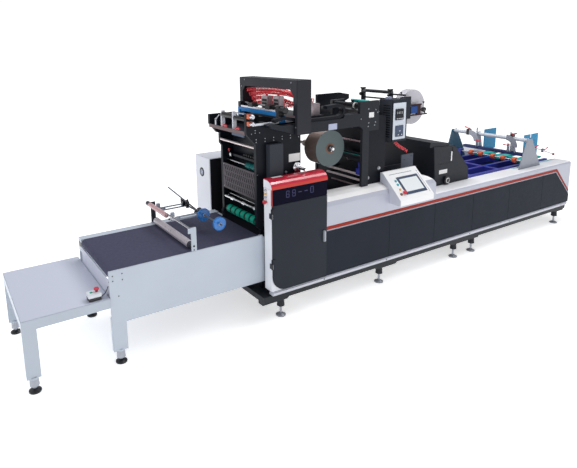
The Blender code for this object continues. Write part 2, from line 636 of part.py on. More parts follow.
def film_unwind():
    column_left = -0.243 - GAP
    arm = [(-1.285, 1.742), (-1.259, 1.712), (-0.987, ARM_LOW), (column_left, ARM_LOW), (column_left, 1.752),
           (-0.430, 1.756), (-0.452, ARM_TOP), (-1.150, ARM_TOP), (-1.230, 1.750)]
    node("unwind_arm_near", BLACK, [prism(arm, "Y", FRAME_NEAR, HEAD_NEAR - GAP)])
    start = -0.400
    roll, core, tip, length = 0.185, 0.390, 0.045, HEAD_FAR - RUN - start
    profile = [(0, -tip), (0.012, -tip), (0.018, -tip + 0.008), (0.018, -0.012), (0.034, -0.012), (0.034, 0),
               (FILM_R, 0), (FILM_R, 0.004), (FILM_R - 0.010, 0.004), (FILM_R - 0.010, roll), (0.034, roll),
               (0.034, core), (0.016, core + 0.010), (0.016, length), (0, length)]
    node("film_roll", FILM, [turned(profile, (FILM_X, start, FILM_Z), "Y", 40)], origin=(FILM_X, start, FILM_Z))


def drag_chain():
    """The cable chain that lies along the near arm and turns back at its right end."""
    half = 0.014
    path = [(-1.215, 1.770), (-1.130, 1.788), (-1.030, 1.772), (-0.940, 1.748), (-0.860, ARM_TOP + half + GAP),
            (-0.500, ARM_TOP + half + GAP), (-0.455, 1.754), (-0.430, 1.784), (-0.432, 1.816), (-0.460, 1.842),
            (-0.520, 1.850), (-0.640, 1.842)]
    outer, inner = [], []
    for k, point in enumerate(path):
        before, after = path[max(k - 1, 0)], path[min(k + 1, len(path) - 1)]
        along = Vector((after[0] - before[0], after[1] - before[1])).normalized()
        side = Vector((-along.y, along.x)) * half
        outer.append((point[0] - side.x, point[1] - side.y))
        inner.append((point[0] + side.x, point[1] + side.y))
    node("drag_chain", BLACK, [prism(outer + inner[::-1], "Y", FRAME_NEAR + 0.008, FRAME_NEAR + 0.062)])


BEAM_X = -1.080
VALVE_DECK = ARM_TOP + 0.029
SMALL_BLOCK_TOP = VALVE_DECK + 0.125


def head_slides():
    """The blue beam over the head with its rail, the valve blocks behind it and the deck that carries both."""
    deck_low = HEAD_TOP + GAP
    near, far = -0.392, 0.280
    beam = box((BEAM_X - 0.020, near, 1.787), (BEAM_X + 0.020, far, 1.824), bevel=0.002)
    posts = [box((BEAM_X - 0.030, y, deck_low), (BEAM_X + 0.030, y + 0.030, 1.800))
             for y in (HEAD_NEAR + 0.004, HEAD_FAR - 0.034)]
    ties = [box((BEAM_X - 0.020, near - 0.040, 1.787), (BEAM_X + 0.020, near + 0.010, 1.800))]
    rail = box((BEAM_X - 0.010, near + 0.010, 1.823), (BEAM_X + 0.010, far - 0.010, 1.842))
    rods = [rod((BEAM_X + 0.040, near, 1.862), (BEAM_X + 0.040, far, 1.862), 0.010),
            box((BEAM_X - 0.012, far - 0.040, 1.820), (BEAM_X + 0.052, far + 0.010, 1.876), bevel=0.003),
            box((BEAM_X - 0.012, near - 0.010, 1.820), (BEAM_X + 0.052, near + 0.040, 1.876), bevel=0.003)]
    node("blue_beam", BLUE, [beam, rail] + posts + ties + rods)
    plate = box((-0.960, -0.380, deck_low), (-0.560, 0.200, VALVE_DECK))
    feet = box((-0.960, HEAD_NEAR + 0.002, deck_low), (-0.890, HEAD_FAR - 0.002, VALVE_DECK))
    sunk = VALVE_DECK - 0.005
    blocks = [box((-0.920, 0.020, sunk), (-0.860, 0.130, PORTAL_TOP - 0.178), bevel=0.004),
              box((-0.920, -0.170, sunk), (-0.860, -0.070, PORTAL_TOP - 0.168), bevel=0.004),
              box((-0.760, -0.360, sunk), (-0.660, -0.270, SMALL_BLOCK_TOP), bevel=0.004),
              box((-0.640, -0.330, sunk), (-0.560, -0.200, SMALL_BLOCK_TOP - 0.020), bevel=0.004)]
    node("valve_blocks", SILVER, [feet, plate] + blocks)


COIL_DIAMETER = 0.046
COIL_START = PORTAL_FAR - 0.0640
COILS = (
    [(-0.950, COIL_START + 0.001, PORTAL_TOP - 0.124), (-0.950, 0.290, PORTAL_TOP - 0.124),
     (-0.875, 0.120, PORTAL_TOP - 0.116), (-0.800, -0.060, PORTAL_TOP - 0.128),
     (-0.750, -0.220, SMALL_BLOCK_TOP + 0.050), (-0.715, -0.320, SMALL_BLOCK_TOP + 0.0245)],
    [(-0.925, COIL_START, PORTAL_TOP - 0.172), (-0.925, 0.290, PORTAL_TOP - 0.172),
     (-0.825, 0.120, PORTAL_TOP - 0.153), (-0.745, -0.060, PORTAL_TOP - 0.165),
     (-0.650, -0.200, SMALL_BLOCK_TOP + 0.020), (-0.600, -0.280, SMALL_BLOCK_TOP + 0.0050)],
    [(-0.895, COIL_START, PORTAL_TOP - 0.214), (-0.895, 0.290, PORTAL_TOP - 0.214),
     (-0.815, 0.130, PORTAL_TOP - 0.205), (-0.780, -0.040, PORTAL_TOP - 0.222),
     (-0.700, -0.200, VALVE_DECK + 0.077), (-0.700, -0.2665, VALVE_DECK + 0.075)],
    [(-0.878, COIL_START + 0.001, PORTAL_TOP - 0.262), (-0.878, 0.290, PORTAL_TOP - 0.262),
     (-0.800, 0.140, PORTAL_TOP - 0.254), (-0.740, -0.030, PORTAL_TOP - 0.272),
     (-0.605, -0.130, VALVE_DECK + 0.056), (-0.600, -0.1955, VALVE_DECK + 0.055)],
)


def coil_hoses():
    for k, points in enumerate(COILS):
        cord("coil_hose_" + str(k + 1), RED, points, COIL_DIAMETER, 12, 3)


REAR_X, REAR_Z, REAR_R = 0.624, 1.736, 0.182


def second_frame():
    column_left, column_right, wide_right = -0.204, -0.119, 0.006
    near_plate = [(column_left, RAISED_TOP + GAP), (column_right, RAISED_TOP + GAP), (column_right, 1.575),
                  (wide_right, 1.575), (wide_right, 1.862), (-0.243, 1.862), (-0.243, ARM_LOW),
                  (column_left, 1.600)]
    node("second_frame_near", BLACK, [prism(near_plate, "Y", FRAME_NEAR, FRAME_NEAR + 0.030)])
    far_plate = [(-0.060, BED_TOP + GAP), (0.300, BED_TOP + GAP), (0.300, 1.752), (0.406, 1.790),
                 (0.406, 1.841), (0.271, 1.867), (-0.060, 1.867)]
    node("second_frame_far", BLACK, [prism(far_plate, "Y", FRAME_FAR - 0.030, FRAME_FAR)])
    far_end = FRAME_FAR - 0.030 - GAP
    near_end = FRAME_NEAR + 0.030 + GAP
    inside = NEAR_FACE + HOUSING_DEPTH + 0.002
    rear = [(0.300, 1.560), (REAR_X + 0.040, 1.690), (REAR_X + 0.040, 1.800), (0.300, 1.720)]
    pieces = [box((-0.050, inside, BED_TOP + GAP), (0.160, far_end, 1.250)),
              box((-0.115, near_end, RAISED_TOP + GAP), (0.140, -0.300, 1.700), bevel=0.004),
              box((-0.040, -0.310, 1.240), (0.160, far_end, 1.560)),
              box((-0.230, near_end, 1.640), (0.100, -0.420, 1.700)),
              box((0.060, -0.350, 1.500), (0.320, -0.310, 1.700)),
              box((0.120, -0.440, 1.100), (0.460, -0.430, 1.160)),
              box((0.440, -0.440, 1.085), (0.620, -0.430, 1.250), bevel=0.002),
              prism(rear, "Y", -0.2795, -0.2590),
              box((0.290, -0.345, 1.560), (0.330, -0.2595, 1.700))]
    tie_x, tie_end = -0.180, 0.000
    for z, radius in ((1.140, 0.012), (1.085, 0.012), (1.350, 0.012), (1.310, 0.024)):
        pieces.append(rod((tie_x, near_end, z), (tie_x, tie_end, z), radius, 12))
        pieces.append(box((tie_x, tie_end - 0.030, z - 0.010), (0.000, tie_end, z + 0.010)))
    node("second_frame_body", BLACK, pieces)


def tension_roller():
    x, z, radius = -0.190, 1.816, 0.028
    near, far = FRAME_NEAR + 0.030 + RUN, -0.120
    length, pin, collar = far - near, 0.010, radius + 0.004
    profile = [(0, 0), (pin, 0), (pin, 0.012), (radius, 0.012), (radius, 0.080), (collar, 0.080),
               (collar, 0.094), (radius, 0.094), (radius, length - 0.012), (pin, length - 0.012),
               (pin, length), (0, length)]
    node("tension_roller", BLACK, [turned(profile, (x, near, z), "Y", 20)], origin=(x, near, z))
    seat = 1.700 + GAP
    carrier = [box((-0.220, far + RUN, seat), (-0.050, far + 0.040, 1.850), bevel=0.003),
               box((-0.120, -0.400, seat), (0.120, 0.180, 1.760)),
               rod((-0.030, -0.425, 1.843), (-0.030, -0.190, 1.843), 0.014, 14),
               box((-0.045, -0.240, 1.750), (-0.015, -0.200, 1.846))]
    bar_x, near_end, far_end = 0.400, -0.325, 0.105
    for start in (near_end, far_end - 0.040):
        carrier.append(box((0.110, start, 1.720), (bar_x + 0.020, start + 0.040, 1.780)))
        carrier.append(box((bar_x - 0.020, start, 1.770), (bar_x + 0.020, start + 0.040, 1.905), bevel=0.004))
    for z, radius in ((1.897, 0.018), (1.826, 0.009)):
        carrier.append(rod((bar_x, near_end, z), (bar_x, far_end, z), radius))
    carrier.append(rod((bar_x, -0.500, 1.879), (bar_x, near_end + 0.010, 1.879), 0.009))
    node("unwind_top", BLACK, carrier)


def meter_box():
    body = box((0.190, FRAME_NEAR, 1.425), (0.400, -0.3503, 1.845), bevel=0.004)
    louvre, pitch, first = 0.010, 0.024, 1.470
    slots = []
    for k in range(14):
        z = first + pitch * k
        slots.append(box((0.180, -0.500, z), (0.192, -0.410, z + louvre)))
    front, back = -0.444, -0.430 - RUN
    bracket = [box((0.396, front, 1.624), (0.549, back, 1.854), bevel=0.001),
               box((0.545, front - 0.004, 1.676), (0.645, back, 1.747), bevel=0.002),
               box((0.640, front + 0.002, 1.652), (0.700, back, 1.766)),
               box((0.545, front, 1.752), (0.712, back, 1.768)),
               box((0.545, front, 1.648), (0.800, back, 1.662))]
    node("meter_box", DARK, [body] + bracket, slots)
    points = [(0.380, -0.392, 1.4225), (0.380, -0.392, 1.395), (0.440, -0.400, 1.340), (0.520, -0.404, 1.295),
              (0.540, -0.428, 1.2745)]
    cord("meter_hose", RED, points, 0.036, 8)


def rear_unwind():
    start, width = -0.400, 0.090
    reach = 0.030
    profile = [(0, -0.03), (0.020, -0.03), (0.020, 0), (REAR_R, 0), (REAR_R, width), (0.030, width),
               (0.030, width + 0.02), (0.014, width + 0.02), (0.014, width + reach), (0, width + reach)]
    node("rear_roll", FILM, [turned(profile, (REAR_X, start, REAR_Z), "Y", 40)], origin=(REAR_X, start, REAR_Z))


HAND_X, HAND_Y, HAND_Z, HAND_R = 1.152, -0.450, 0.876, 0.046


def transverse_housing():
    near, far = -0.450, 0.330
    low = COVER_TOP + GAP
    outline = [(0.975, low), (1.552, low), (1.545, 0.966), (1.288, 1.255), (0.930, 1.275)]
    top = prism(outline, "Y", near, far, bevel=0.004)
    stem = box((0.985, near + 0.040, BED_TOP + GAP), (1.540, far - 0.010, low + 0.010))
    lid = [(0.880, 1.270), (1.190, 1.255), (1.205, 1.288), (0.885, 1.330)]
    cap = prism(lid, "Y", near + 0.010, far - 0.010)
    recess = box((1.040, near - 0.01, 1.066), (1.250, near + 0.004, 1.240))
    node("transverse_housing", BLACK, [top, stem, cap], [recess])
    wheel = [(0, 0), (HAND_R - 0.006, 0), (HAND_R, 0.006), (HAND_R, 0.012), (HAND_R - 0.006, 0.018),
             (0.014, 0.018), (0.014, 0.030), (0, 0.030)]
    base = (HAND_X, HAND_Y - RUN - 0.030, HAND_Z)
    node("housing_handwheel", BLACK, [turned(wheel, base, "Y", 20)], origin=base)


def operator_box():
    y0 = NEAR_FACE - 0.142
    front = NEAR_FACE + 0.004 - GAP
    shape = [(y0, 0.848), (front, 0.848), (front, 0.9555), (front + 0.0195, 0.9910), (front + 0.0695, 1.0190),
             (front + 0.121, 1.0315), (-0.520, 1.0315), (-0.520, 1.136), (-0.545, 1.140), (y0, 0.905)]
    left, right = 0.058, 0.532
    body = prism(shape, "X", left, right)
    low, high = Vector((y0, 0.905)), Vector((-0.545, 1.140))
    along = (high - low).normalized()
    normal = Vector((-along.y, along.x))
    a, b = low + along * 0.048, high - along * 0.084
    depth, over = normal * 0.004, normal * 0.020
    window = [tuple(a - depth), tuple(b - depth), tuple(b + over), tuple(a + over)]
    node("operator_box", WHITE, [body], [prism(window, "X", left + 0.120, right - 0.048)])


DECK_TOP = 0.760
BEAM_YS = (NEAR_FACE + HOUSING_DEPTH + 0.030, -0.180, 0.120, 0.330)
BEAM_HALF, BEAM_TOP = 0.022, 0.838
CROSS_BEAM_XS, CROSS_BEAM_HALF = (1.700, 2.240, 2.860), 0.030
BELT_YS, BELT_HALF, BELT_BACK_TOP = (-0.290, -0.030, 0.220), 0.050, 0.862
GUIDE_PANELS = (("near", -0.300, BELT_BACK_TOP, ((2.868, 3.004), (3.030, 3.180))),
                ("far", 0.290, BEAM_TOP, ((2.915, 3.185),)))


def delivery():
    inside_near, inside_far = NEAR_FACE + HOUSING_DEPTH + 0.002, FAR_FACE - HOUSING_DEPTH - 0.002
    start, beam_end = 1.600, 3.250
    deck = box((start, inside_near, BED_TOP + GAP), (BODY_END - 0.060, inside_far, DECK_TOP))
    node("delivery_deck", BLACK, [deck])
    low = DECK_TOP + GAP
    beams = [box((start, y - BEAM_HALF, low), (beam_end, y + BEAM_HALF, BEAM_TOP), bevel=0.003) for y in BEAM_YS]
    for x in CROSS_BEAM_XS:
        beams.append(box((x - CROSS_BEAM_HALF, BEAM_YS[0] - 0.010, DECK_TOP + 0.002),
                         (x + CROSS_BEAM_HALF, BEAM_YS[-1] + 0.010, BEAM_TOP - 0.006)))
    beams.append(box((SHAFT_X - 0.020, BEAM_YS[-1], BEAM_TOP - 0.006),
                     (SHAFT_X + 0.020, SHAFT_END, SHAFT_Z + 0.027)))
    node("delivery_beams", NAVY, beams)
    belt_start, belt_end, low = 2.700, 3.230, BEAM_TOP + GAP
    belts = [box((belt_start, y - BELT_HALF, low), (belt_end, y + BELT_HALF, BELT_BACK_TOP), bevel=0.004)
             for y in BELT_YS]
    belts.append(box((belt_start + 0.200, BELT_YS[0] - 0.040, low),
                     (belt_start + 0.260, BELT_YS[-1] + 0.040, BELT_BACK_TOP - 0.012)))
    node("delivery_belts", TEAL, belts)
    crossbar()
    for name, y, seat, panels in GUIDE_PANELS:
        guide_plate(name, y, seat, panels)
    wheel_shaft()


TUBE_X, TUBE_Z, TUBE_R = 2.590, 1.167, 0.024
TRAP_NEAR, TRAP_FAR, TRAP_HALF = -0.530, FAR_FACE - HOUSING_DEPTH - 0.028, 0.004
TRAP_LEFT, TRAP_RIGHT, TRAP_TOP = 2.405, 2.860, 1.190
HANGER_YS = (0.150, -0.320)
CROSS_LOW, CROSS_TOP = 0.962, 1.000


def foot_plate(foot):
    """The outline of a plate that carries the tube, down to the height of its foot."""
    return [(TRAP_LEFT, foot), (TRAP_RIGHT, foot), (TRAP_RIGHT - 0.054, 0.911), (TUBE_X + 0.050, TRAP_TOP),
            (TUBE_X - 0.050, TRAP_TOP)]


def crossbar():
    """The tube over the delivery on its two foot plates, with the hanging brackets and the beam below."""
    pieces = [rod((TUBE_X, TRAP_NEAR, TUBE_Z), (TUBE_X, TRAP_FAR, TUBE_Z), TUBE_R)]
    for y, foot in ((TRAP_NEAR, COVER_TOP + GAP), (TRAP_FAR, DECK_TOP + GAP)):
        pieces.append(prism(foot_plate(foot), "Y", y - TRAP_HALF, y + TRAP_HALF))
    pieces.append(box((TUBE_X - 0.030, -0.480, CROSS_LOW), (TUBE_X + 0.030, 0.360, CROSS_TOP), bevel=0.003))
    for y in HANGER_YS:
        hanger = [(TUBE_X - 0.050, CROSS_LOW + 0.013), (TUBE_X + 0.080, CROSS_LOW + 0.013),
                  (TUBE_X + 0.030, TUBE_Z + 0.030), (TUBE_X - 0.030, TUBE_Z + 0.030)]
        pieces.append(prism(hanger, "Y", y - TRAP_HALF, y + TRAP_HALF))
        pieces.append(rod((TUBE_X, y + 0.030, TUBE_Z), (TUBE_X, y + 0.030, TUBE_Z + 0.080), 0.008))
    node("delivery_crossbar", SILVER, pieces)


PLATE_LOW, PLATE_TOP, PLATE_THICK = 0.885, 1.175, 0.004
PLATE_POST_X = 3.040


def guide_plate(name, y, seat, panels):
    first, last = panels[0][0], panels[-1][1]
    pieces = [box((first, y - PLATE_THICK, PLATE_LOW), (last, y + PLATE_THICK, PLATE_LOW + 0.110))]
    for start, end in panels:
        pieces.append(box((start, y - PLATE_THICK, PLATE_LOW), (end, y + PLATE_THICK, PLATE_TOP), bevel=0.001))
    pieces.append(box((PLATE_POST_X - 0.020, y + PLATE_THICK - 0.001, seat + GAP),
                      (PLATE_POST_X + 0.020, y + 0.032, PLATE_TOP - 0.055)))
    node("guide_plate_" + name, BLUE, pieces)


SHAFT_X, SHAFT_Z = 2.500, 0.918
SHAFT_NEAR, SHAFT_FAR = TRAP_NEAR + TRAP_HALF + RUN, BEAM_YS[-1] - RUN
SHAFT_END = 0.371
WHEEL_YS = (-0.415, -0.266, -0.126, 0.045, 0.185)


def wheel_shaft():
    """A shaft with five orange wheels, which turns between the near foot plate and a block on the far beam."""
    shaft, flank, crown, half = 0.009, 0.030, 0.034, 0.022
    profile = [(0, 0), (shaft, 0)]
    for y in WHEEL_YS:
        at = y - SHAFT_NEAR
        start, end = at - half, at + half
        profile += [(shaft, start), (flank, start), (crown, start + 0.006), (crown, end - 0.006), (flank, end),
                    (shaft, end)]
    length = SHAFT_FAR - SHAFT_NEAR
    profile += [(shaft, length), (0, length)]
    base = (SHAFT_X, SHAFT_NEAR, SHAFT_Z)
    node("orange_wheels", ORANGE, [turned(profile, base, "Y", 20)], origin=base)


def main():
    clear_scene()
    feed_table()
    button_box()
    feed_conveyor()
    hold_down_bracket()
    wheel_arm()
    base_frame()
    side_housing("near", NEAR_FACE, 1)
    side_housing("far", FAR_FACE, -1)
    raised_cover()
    near_cabinet()
    far_cabinet()
    machine_bed()
    patching_head()
    head_rollers()
    portal()
    film_unwind()
    drag_chain()
    head_slides()
    coil_hoses()
    second_frame()
    tension_roller()
    meter_box()
    rear_unwind()
    transverse_housing()
    operator_box()
    delivery()


main()
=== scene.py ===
"""Looks of the window patching machine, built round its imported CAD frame.

Metres, +Z up, +X from the feed table towards the delivery, the operator's side at -Y.
"""

import math

import bmesh
import bpy
from mathutils import Matrix, Vector

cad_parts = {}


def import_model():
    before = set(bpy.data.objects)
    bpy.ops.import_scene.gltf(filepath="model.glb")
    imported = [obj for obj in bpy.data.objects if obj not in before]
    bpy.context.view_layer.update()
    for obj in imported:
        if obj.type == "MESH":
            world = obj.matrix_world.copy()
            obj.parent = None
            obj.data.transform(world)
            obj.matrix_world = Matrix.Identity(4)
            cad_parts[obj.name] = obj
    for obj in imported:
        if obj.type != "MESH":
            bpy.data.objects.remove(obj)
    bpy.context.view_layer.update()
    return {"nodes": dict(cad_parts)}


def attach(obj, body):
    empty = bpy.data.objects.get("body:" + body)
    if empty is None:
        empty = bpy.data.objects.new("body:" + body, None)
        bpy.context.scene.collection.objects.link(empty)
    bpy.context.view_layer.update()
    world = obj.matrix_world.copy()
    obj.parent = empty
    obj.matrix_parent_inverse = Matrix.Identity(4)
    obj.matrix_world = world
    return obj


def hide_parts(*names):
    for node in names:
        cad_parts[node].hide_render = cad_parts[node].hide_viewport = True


BODY = "frame"
LOOKS = {}
NEAR, LEFT, RIGHT, UP = Vector((0, -1, 0)), Vector((-1, 0, 0)), Vector((1, 0, 0)), Vector((0, 0, 1))


def put(name, data):
    obj = bpy.data.objects.new(name, data)
    bpy.context.scene.collection.objects.link(obj)
    return obj


# Camera, floor and light


PHOTO_WIDTH, PHOTO_HEIGHT = 577, 468
FOCAL_PIXELS = 514.9
CENTER_U, CENTER_V = 227.5, 150.7
SENSOR_WIDTH = 36
CAMERA_PLACE = (-3.7236, -4.104, 2.4)
AZIMUTH, ELEVATION, ROLL = math.radians(-29.6), math.radians(11.318), math.radians(-1.68)

FLOOR_HALF = 40
FLOOR_COLOR = (0.93, 0.935, 0.94)
GLOW_NEAR, GLOW_FAR = 0.58, 0.95
GLOW_START, GLOW_END = 3.5, 8.0

WORLD_COLOR = (0.97, 0.98, 1.0)
WORLD_ON_MACHINE, WORLD_IN_VIEW = 0.34, 1.06
COOL_WHITE = (0.96, 0.98, 1.0)


def make_camera():
    back = Vector((math.sin(AZIMUTH) * math.cos(ELEVATION), -math.cos(AZIMUTH) * math.cos(ELEVATION),
                   math.sin(ELEVATION)))
    right = (-back).cross(UP).normalized()
    up = right.cross(-back)
    rolled_right = right * math.cos(ROLL) + up * math.sin(ROLL)
    rolled_up = up * math.cos(ROLL) - right * math.sin(ROLL)
    place = Matrix((rolled_right, rolled_up, back)).transposed().to_4x4()
    place.translation = CAMERA_PLACE
    data = bpy.data.cameras.new("camera")
    data.sensor_width = SENSOR_WIDTH
    data.lens = FOCAL_PIXELS / PHOTO_WIDTH * SENSOR_WIDTH
    data.shift_x = (PHOTO_WIDTH / 2 - CENTER_U) / PHOTO_WIDTH
    data.shift_y = -(PHOTO_HEIGHT / 2 - CENTER_V) / PHOTO_WIDTH
    camera = put("camera", data)
    camera.matrix_world = place
    bpy.context.scene.camera = camera


def make_floor():
    """A white floor that glows more towards the horizon, so that it fades into the backdrop."""
    bm = bmesh.new()
    bmesh.ops.create_grid(bm, x_segments=8, y_segments=8, size=FLOOR_HALF)
    mesh = bpy.data.meshes.new("floor")
    bm.to_mesh(mesh)
    bm.free()
    mat = bpy.data.materials.new("floor")
    mat.use_nodes = True
    tree = mat.node_tree
    shader = tree.nodes["Principled BSDF"]
    shader.inputs["Base Color"].default_value = rgba(FLOOR_COLOR)
    shader.inputs["Roughness"].default_value = 0.9
    shader.inputs["Emission Color"].default_value = (1, 1, 1, 1)
    reach = shader_node(tree, "ShaderNodeVectorMath", [(0, coordinates(tree))], operation="LENGTH")
    glow = spread(tree, reach.outputs["Value"], GLOW_NEAR, GLOW_FAR, GLOW_START, GLOW_END)
    tree.links.new(glow, shader.inputs["Emission Strength"])
    mesh.materials.append(mat)
    put("floor", mesh)


def area_light(name, place, target, size, power, color=(1, 1, 1)):
    data = bpy.data.lights.new(name, "AREA")
    data.shape = "RECTANGLE"
    data.size, data.size_y = size
    data.energy = power
    data.color = color
    light = put(name, data)
    light.location = place
    light.rotation_euler = (Vector(target) - Vector(place)).to_track_quat("-Z", "Y").to_euler()


def make_light():
    world = bpy.data.worlds.new("studio")
    world.use_nodes = True
    tree = world.node_tree
    backdrop = tree.nodes["Background"]
    backdrop.inputs["Color"].default_value = rgba(WORLD_COLOR)
    in_view = shader_node(tree, "ShaderNodeLightPath").outputs["Is Camera Ray"]
    strength = spread(tree, in_view, WORLD_ON_MACHINE, WORLD_IN_VIEW, 0, 1)
    tree.links.new(strength, backdrop.inputs["Strength"])
    bpy.context.scene.world = world
    area_light("key", (-3.5, -5.0, 6.0), (0, 0, 0.8), (5, 4), 45)
    area_light("top", (1.0, 0.2, 6.0), (0.5, -0.1, 0.8), (8, 3), 300)
    area_light("left", (-8.0, 1.0, 3.5), (-0.5, 0, 0.9), (4, 3), 130, COOL_WHITE)
    area_light("strip", (1.2, -1.5, 4.8), (-1.0, -0.6, 1.3), (5, 0.25), 25)
    view = bpy.context.scene.view_settings
    view.view_transform = "Standard"
    view.look = "None"


# Shader nodes


def shader_node(tree, kind, links=(), **settings):
    node = tree.nodes.new(kind)
    for key, value in settings.items():
        setattr(node, key, value)
    for key, value in links:
        connect(tree, value, node.inputs[key])
    return node


def connect(tree, value, socket):
    """Links value to the socket where it is a socket itself, and sets it as a constant otherwise."""
    if isinstance(value, bpy.types.NodeSocket):
        tree.links.new(value, socket)
    else:
        socket.default_value = value


def coordinates(tree):
    return shader_node(tree, "ShaderNodeTexCoord").outputs["Object"]


def noise_of(tree, scale, detail, stretch=None):
    place = coordinates(tree)
    if stretch:
        place = shader_node(tree, "ShaderNodeMapping", [("Vector", place), ("Scale", stretch)]).outputs[0]
    links = [("Vector", place), ("Scale", scale), ("Detail", detail)]
    return shader_node(tree, "ShaderNodeTexNoise", links).outputs[0]


def spread(tree, value, low, high, start=0.3, end=0.7):
    """value, which runs from start to end, brought to run from low to high."""
    links = [("Value", value), ("From Min", start), ("From Max", end), ("To Min", low), ("To Max", high)]
    return shader_node(tree, "ShaderNodeMapRange", links).outputs[0]


def blended(tree, factor, first, second, kind="RGBA"):
    """first where factor is 0, second where it is 1, for a colour or a number."""
    sockets = {"RGBA": (6, 7, 2), "FLOAT": (2, 3, 0)}[kind]
    node = shader_node(tree, "ShaderNodeMix", data_type=kind)
    for index, value in ((0, factor), (sockets[0], first), (sockets[1], second)):
        connect(tree, value, node.inputs[index])
    return node.outputs[sockets[2]]


def computed(tree, operation, first, second):
    return shader_node(tree, "ShaderNodeMath", [(0, first), (1, second)], operation=operation).outputs[0]


def within(tree, ranges):
    """1 inside all the ranges, each an axis letter with a lowest and a highest place."""
    parts = shader_node(tree, "ShaderNodeSeparateXYZ", [("Vector", coordinates(tree))])
    factor = 1.0
    for axis, low, high in ranges:
        value = parts.outputs["XYZ".index(axis)]
        above = computed(tree, "GREATER_THAN", value, low)
        below = computed(tree, "LESS_THAN", value, high)
        factor = computed(tree, "MULTIPLY", computed(tree, "MULTIPLY", above, below), factor)
    return factor


def rgba(color):
    return (*color, 1.0)


# Looks


DRIFT_SCALE, GLOSS_SCALE = 2.5, 35.0
GLOSS_SWING = 0.12
COAT_ROUGHNESS = 0.08
BUMP_DEPTH = 0.001


def look(name, color, rough, metal=0.0, vary=0.10, grain=(600, 0.04), coat=0.0, stretch=None, zones=(),
         specular=0.5):
    """A finish with slow colour drift, uneven gloss and a fine bump.

    grain is the bump's scale and strength, and each of the zones lays another finish over a part of it.
    """
    mat = bpy.data.materials.new(name)
    mat.use_nodes = True
    tree = mat.node_tree
    shader = tree.nodes["Principled BSDF"]
    deep = tuple(part * (1 - vary) for part in color)
    paint = blended(tree, spread(tree, noise_of(tree, DRIFT_SCALE, 4.0), 0.0, 1.0), rgba(deep), rgba(color))
    rougher = min(rough * (1 + GLOSS_SWING), 1.0)
    gloss = spread(tree, noise_of(tree, GLOSS_SCALE, 3.0), rough * (1 - GLOSS_SWING), rougher)
    metallic = metal
    for ranges, zone_color, zone_rough, zone_metal in zones:
        mask = within(tree, ranges)
        paint = blended(tree, mask, paint, rgba(zone_color))
        gloss = blended(tree, mask, gloss, zone_rough, "FLOAT")
        metallic = blended(tree, mask, metallic, zone_metal, "FLOAT")
    scale, strength = grain
    bump = shader_node(tree, "ShaderNodeBump", [
        ("Height", noise_of(tree, scale, 2.0, stretch)), ("Strength", strength), ("Distance", BUMP_DEPTH)])
    for key, value in (("Base Color", paint), ("Roughness", gloss), ("Metallic", metallic),
                       ("Specular IOR Level", specular), ("Coat Weight", coat),
                       ("Coat Roughness", COAT_ROUGHNESS), ("Normal", bump.outputs[0])):
        connect(tree, value, shader.inputs[key])
    LOOKS[name] = mat


CHROME_COLOR = (0.78, 0.79, 0.82)
STEEL_COLOR = (0.58, 0.58, 0.63)
PINK_COLOR = (0.85, 0.74, 0.75)
BLACK_COLOR = (0.007, 0.009, 0.015)
CHARCOAL_COLOR = (0.021, 0.026, 0.038)
RUBBER_COLOR = (0.012, 0.012, 0.014)
PLASTIC_COLOR = (0.018, 0.018, 0.022)
CLAMP_COLOR = (0.10, 0.11, 0.14)
NECK_COLOR = (0.05, 0.05, 0.07)
TABLE_COLOR = (0.50, 0.56, 0.64)
FOOT_COLOR = (0.38, 0.40, 0.45)
WHITE_COLOR = (0.74, 0.76, 0.84)
# Painted shade: the white paint darkened for faces towards -Y, where less light falls than on the tops.
PAINTED_SHADE_WHITE = (0.49, 0.51, 0.60)
STRIPE_COLOR = (0.34, 0.020, 0.007)
GREEN_COLOR = (0.003, 0.38, 0.26)

POWDER_GRAIN, FINE_GRAIN, RUBBER_GRAIN = (1400, 0.12), (1400, 0.10), (900, 0.12)
BLACK_PAINT = dict(vary=0.2, grain=FINE_GRAIN, specular=0.15)
SHEET_PAINT = dict(vary=0.05, grain=(900, 0.05), coat=0.1)
WHITE_PAINT = dict(vary=0.04, grain=(900, 0.04), coat=0.25)
COVER_PAINT = dict(vary=0.03, grain=(900, 0.04))
BRUSHED = dict(grain=(500, 0.05), stretch=(0.04, 1, 1))

# Open ends of a zone's ranges
FAR, BEYOND = -9, 9


def zone(color, rough, metal, *ranges):
    return [ranges, color, rough, metal]


def chrome(*ranges):
    return zone(CHROME_COLOR, 0.14, 1.0, *ranges)


def steel(*ranges):
    return zone(STEEL_COLOR, 0.24, 1.0, *ranges)


def dull(color, *ranges):
    return zone(color, 0.4, 0.0, *ranges)


def dark(*ranges):
    return dull(BLACK_COLOR, *ranges)


def bands(color, places, half, *ranges):
    """Dull bands across Y, each centred on one of the places."""
    return tuple(dull(color, ("Y", y - half, y + half), *ranges) for y in places)


def feet(rubber_top, stem_top):
    """Rubber discs on the floor with bright stems above them."""
    return dull(RUBBER_COLOR, ("Z", FAR, rubber_top)), zone(FOOT_COLOR, 0.3, 0.4, ("Z", rubber_top, stem_top))


TABLE_FEET = feet(0.027, 0.1025)
MACHINE_FEET = feet(0.004, 0.0965)
CLAMP_YS = (0.270, -0.060)
RING_YS = tuple(-0.327 + 0.08514 * k for k in range(7))
WHEEL_YS = (-0.415, -0.266, -0.126, 0.045, 0.185)


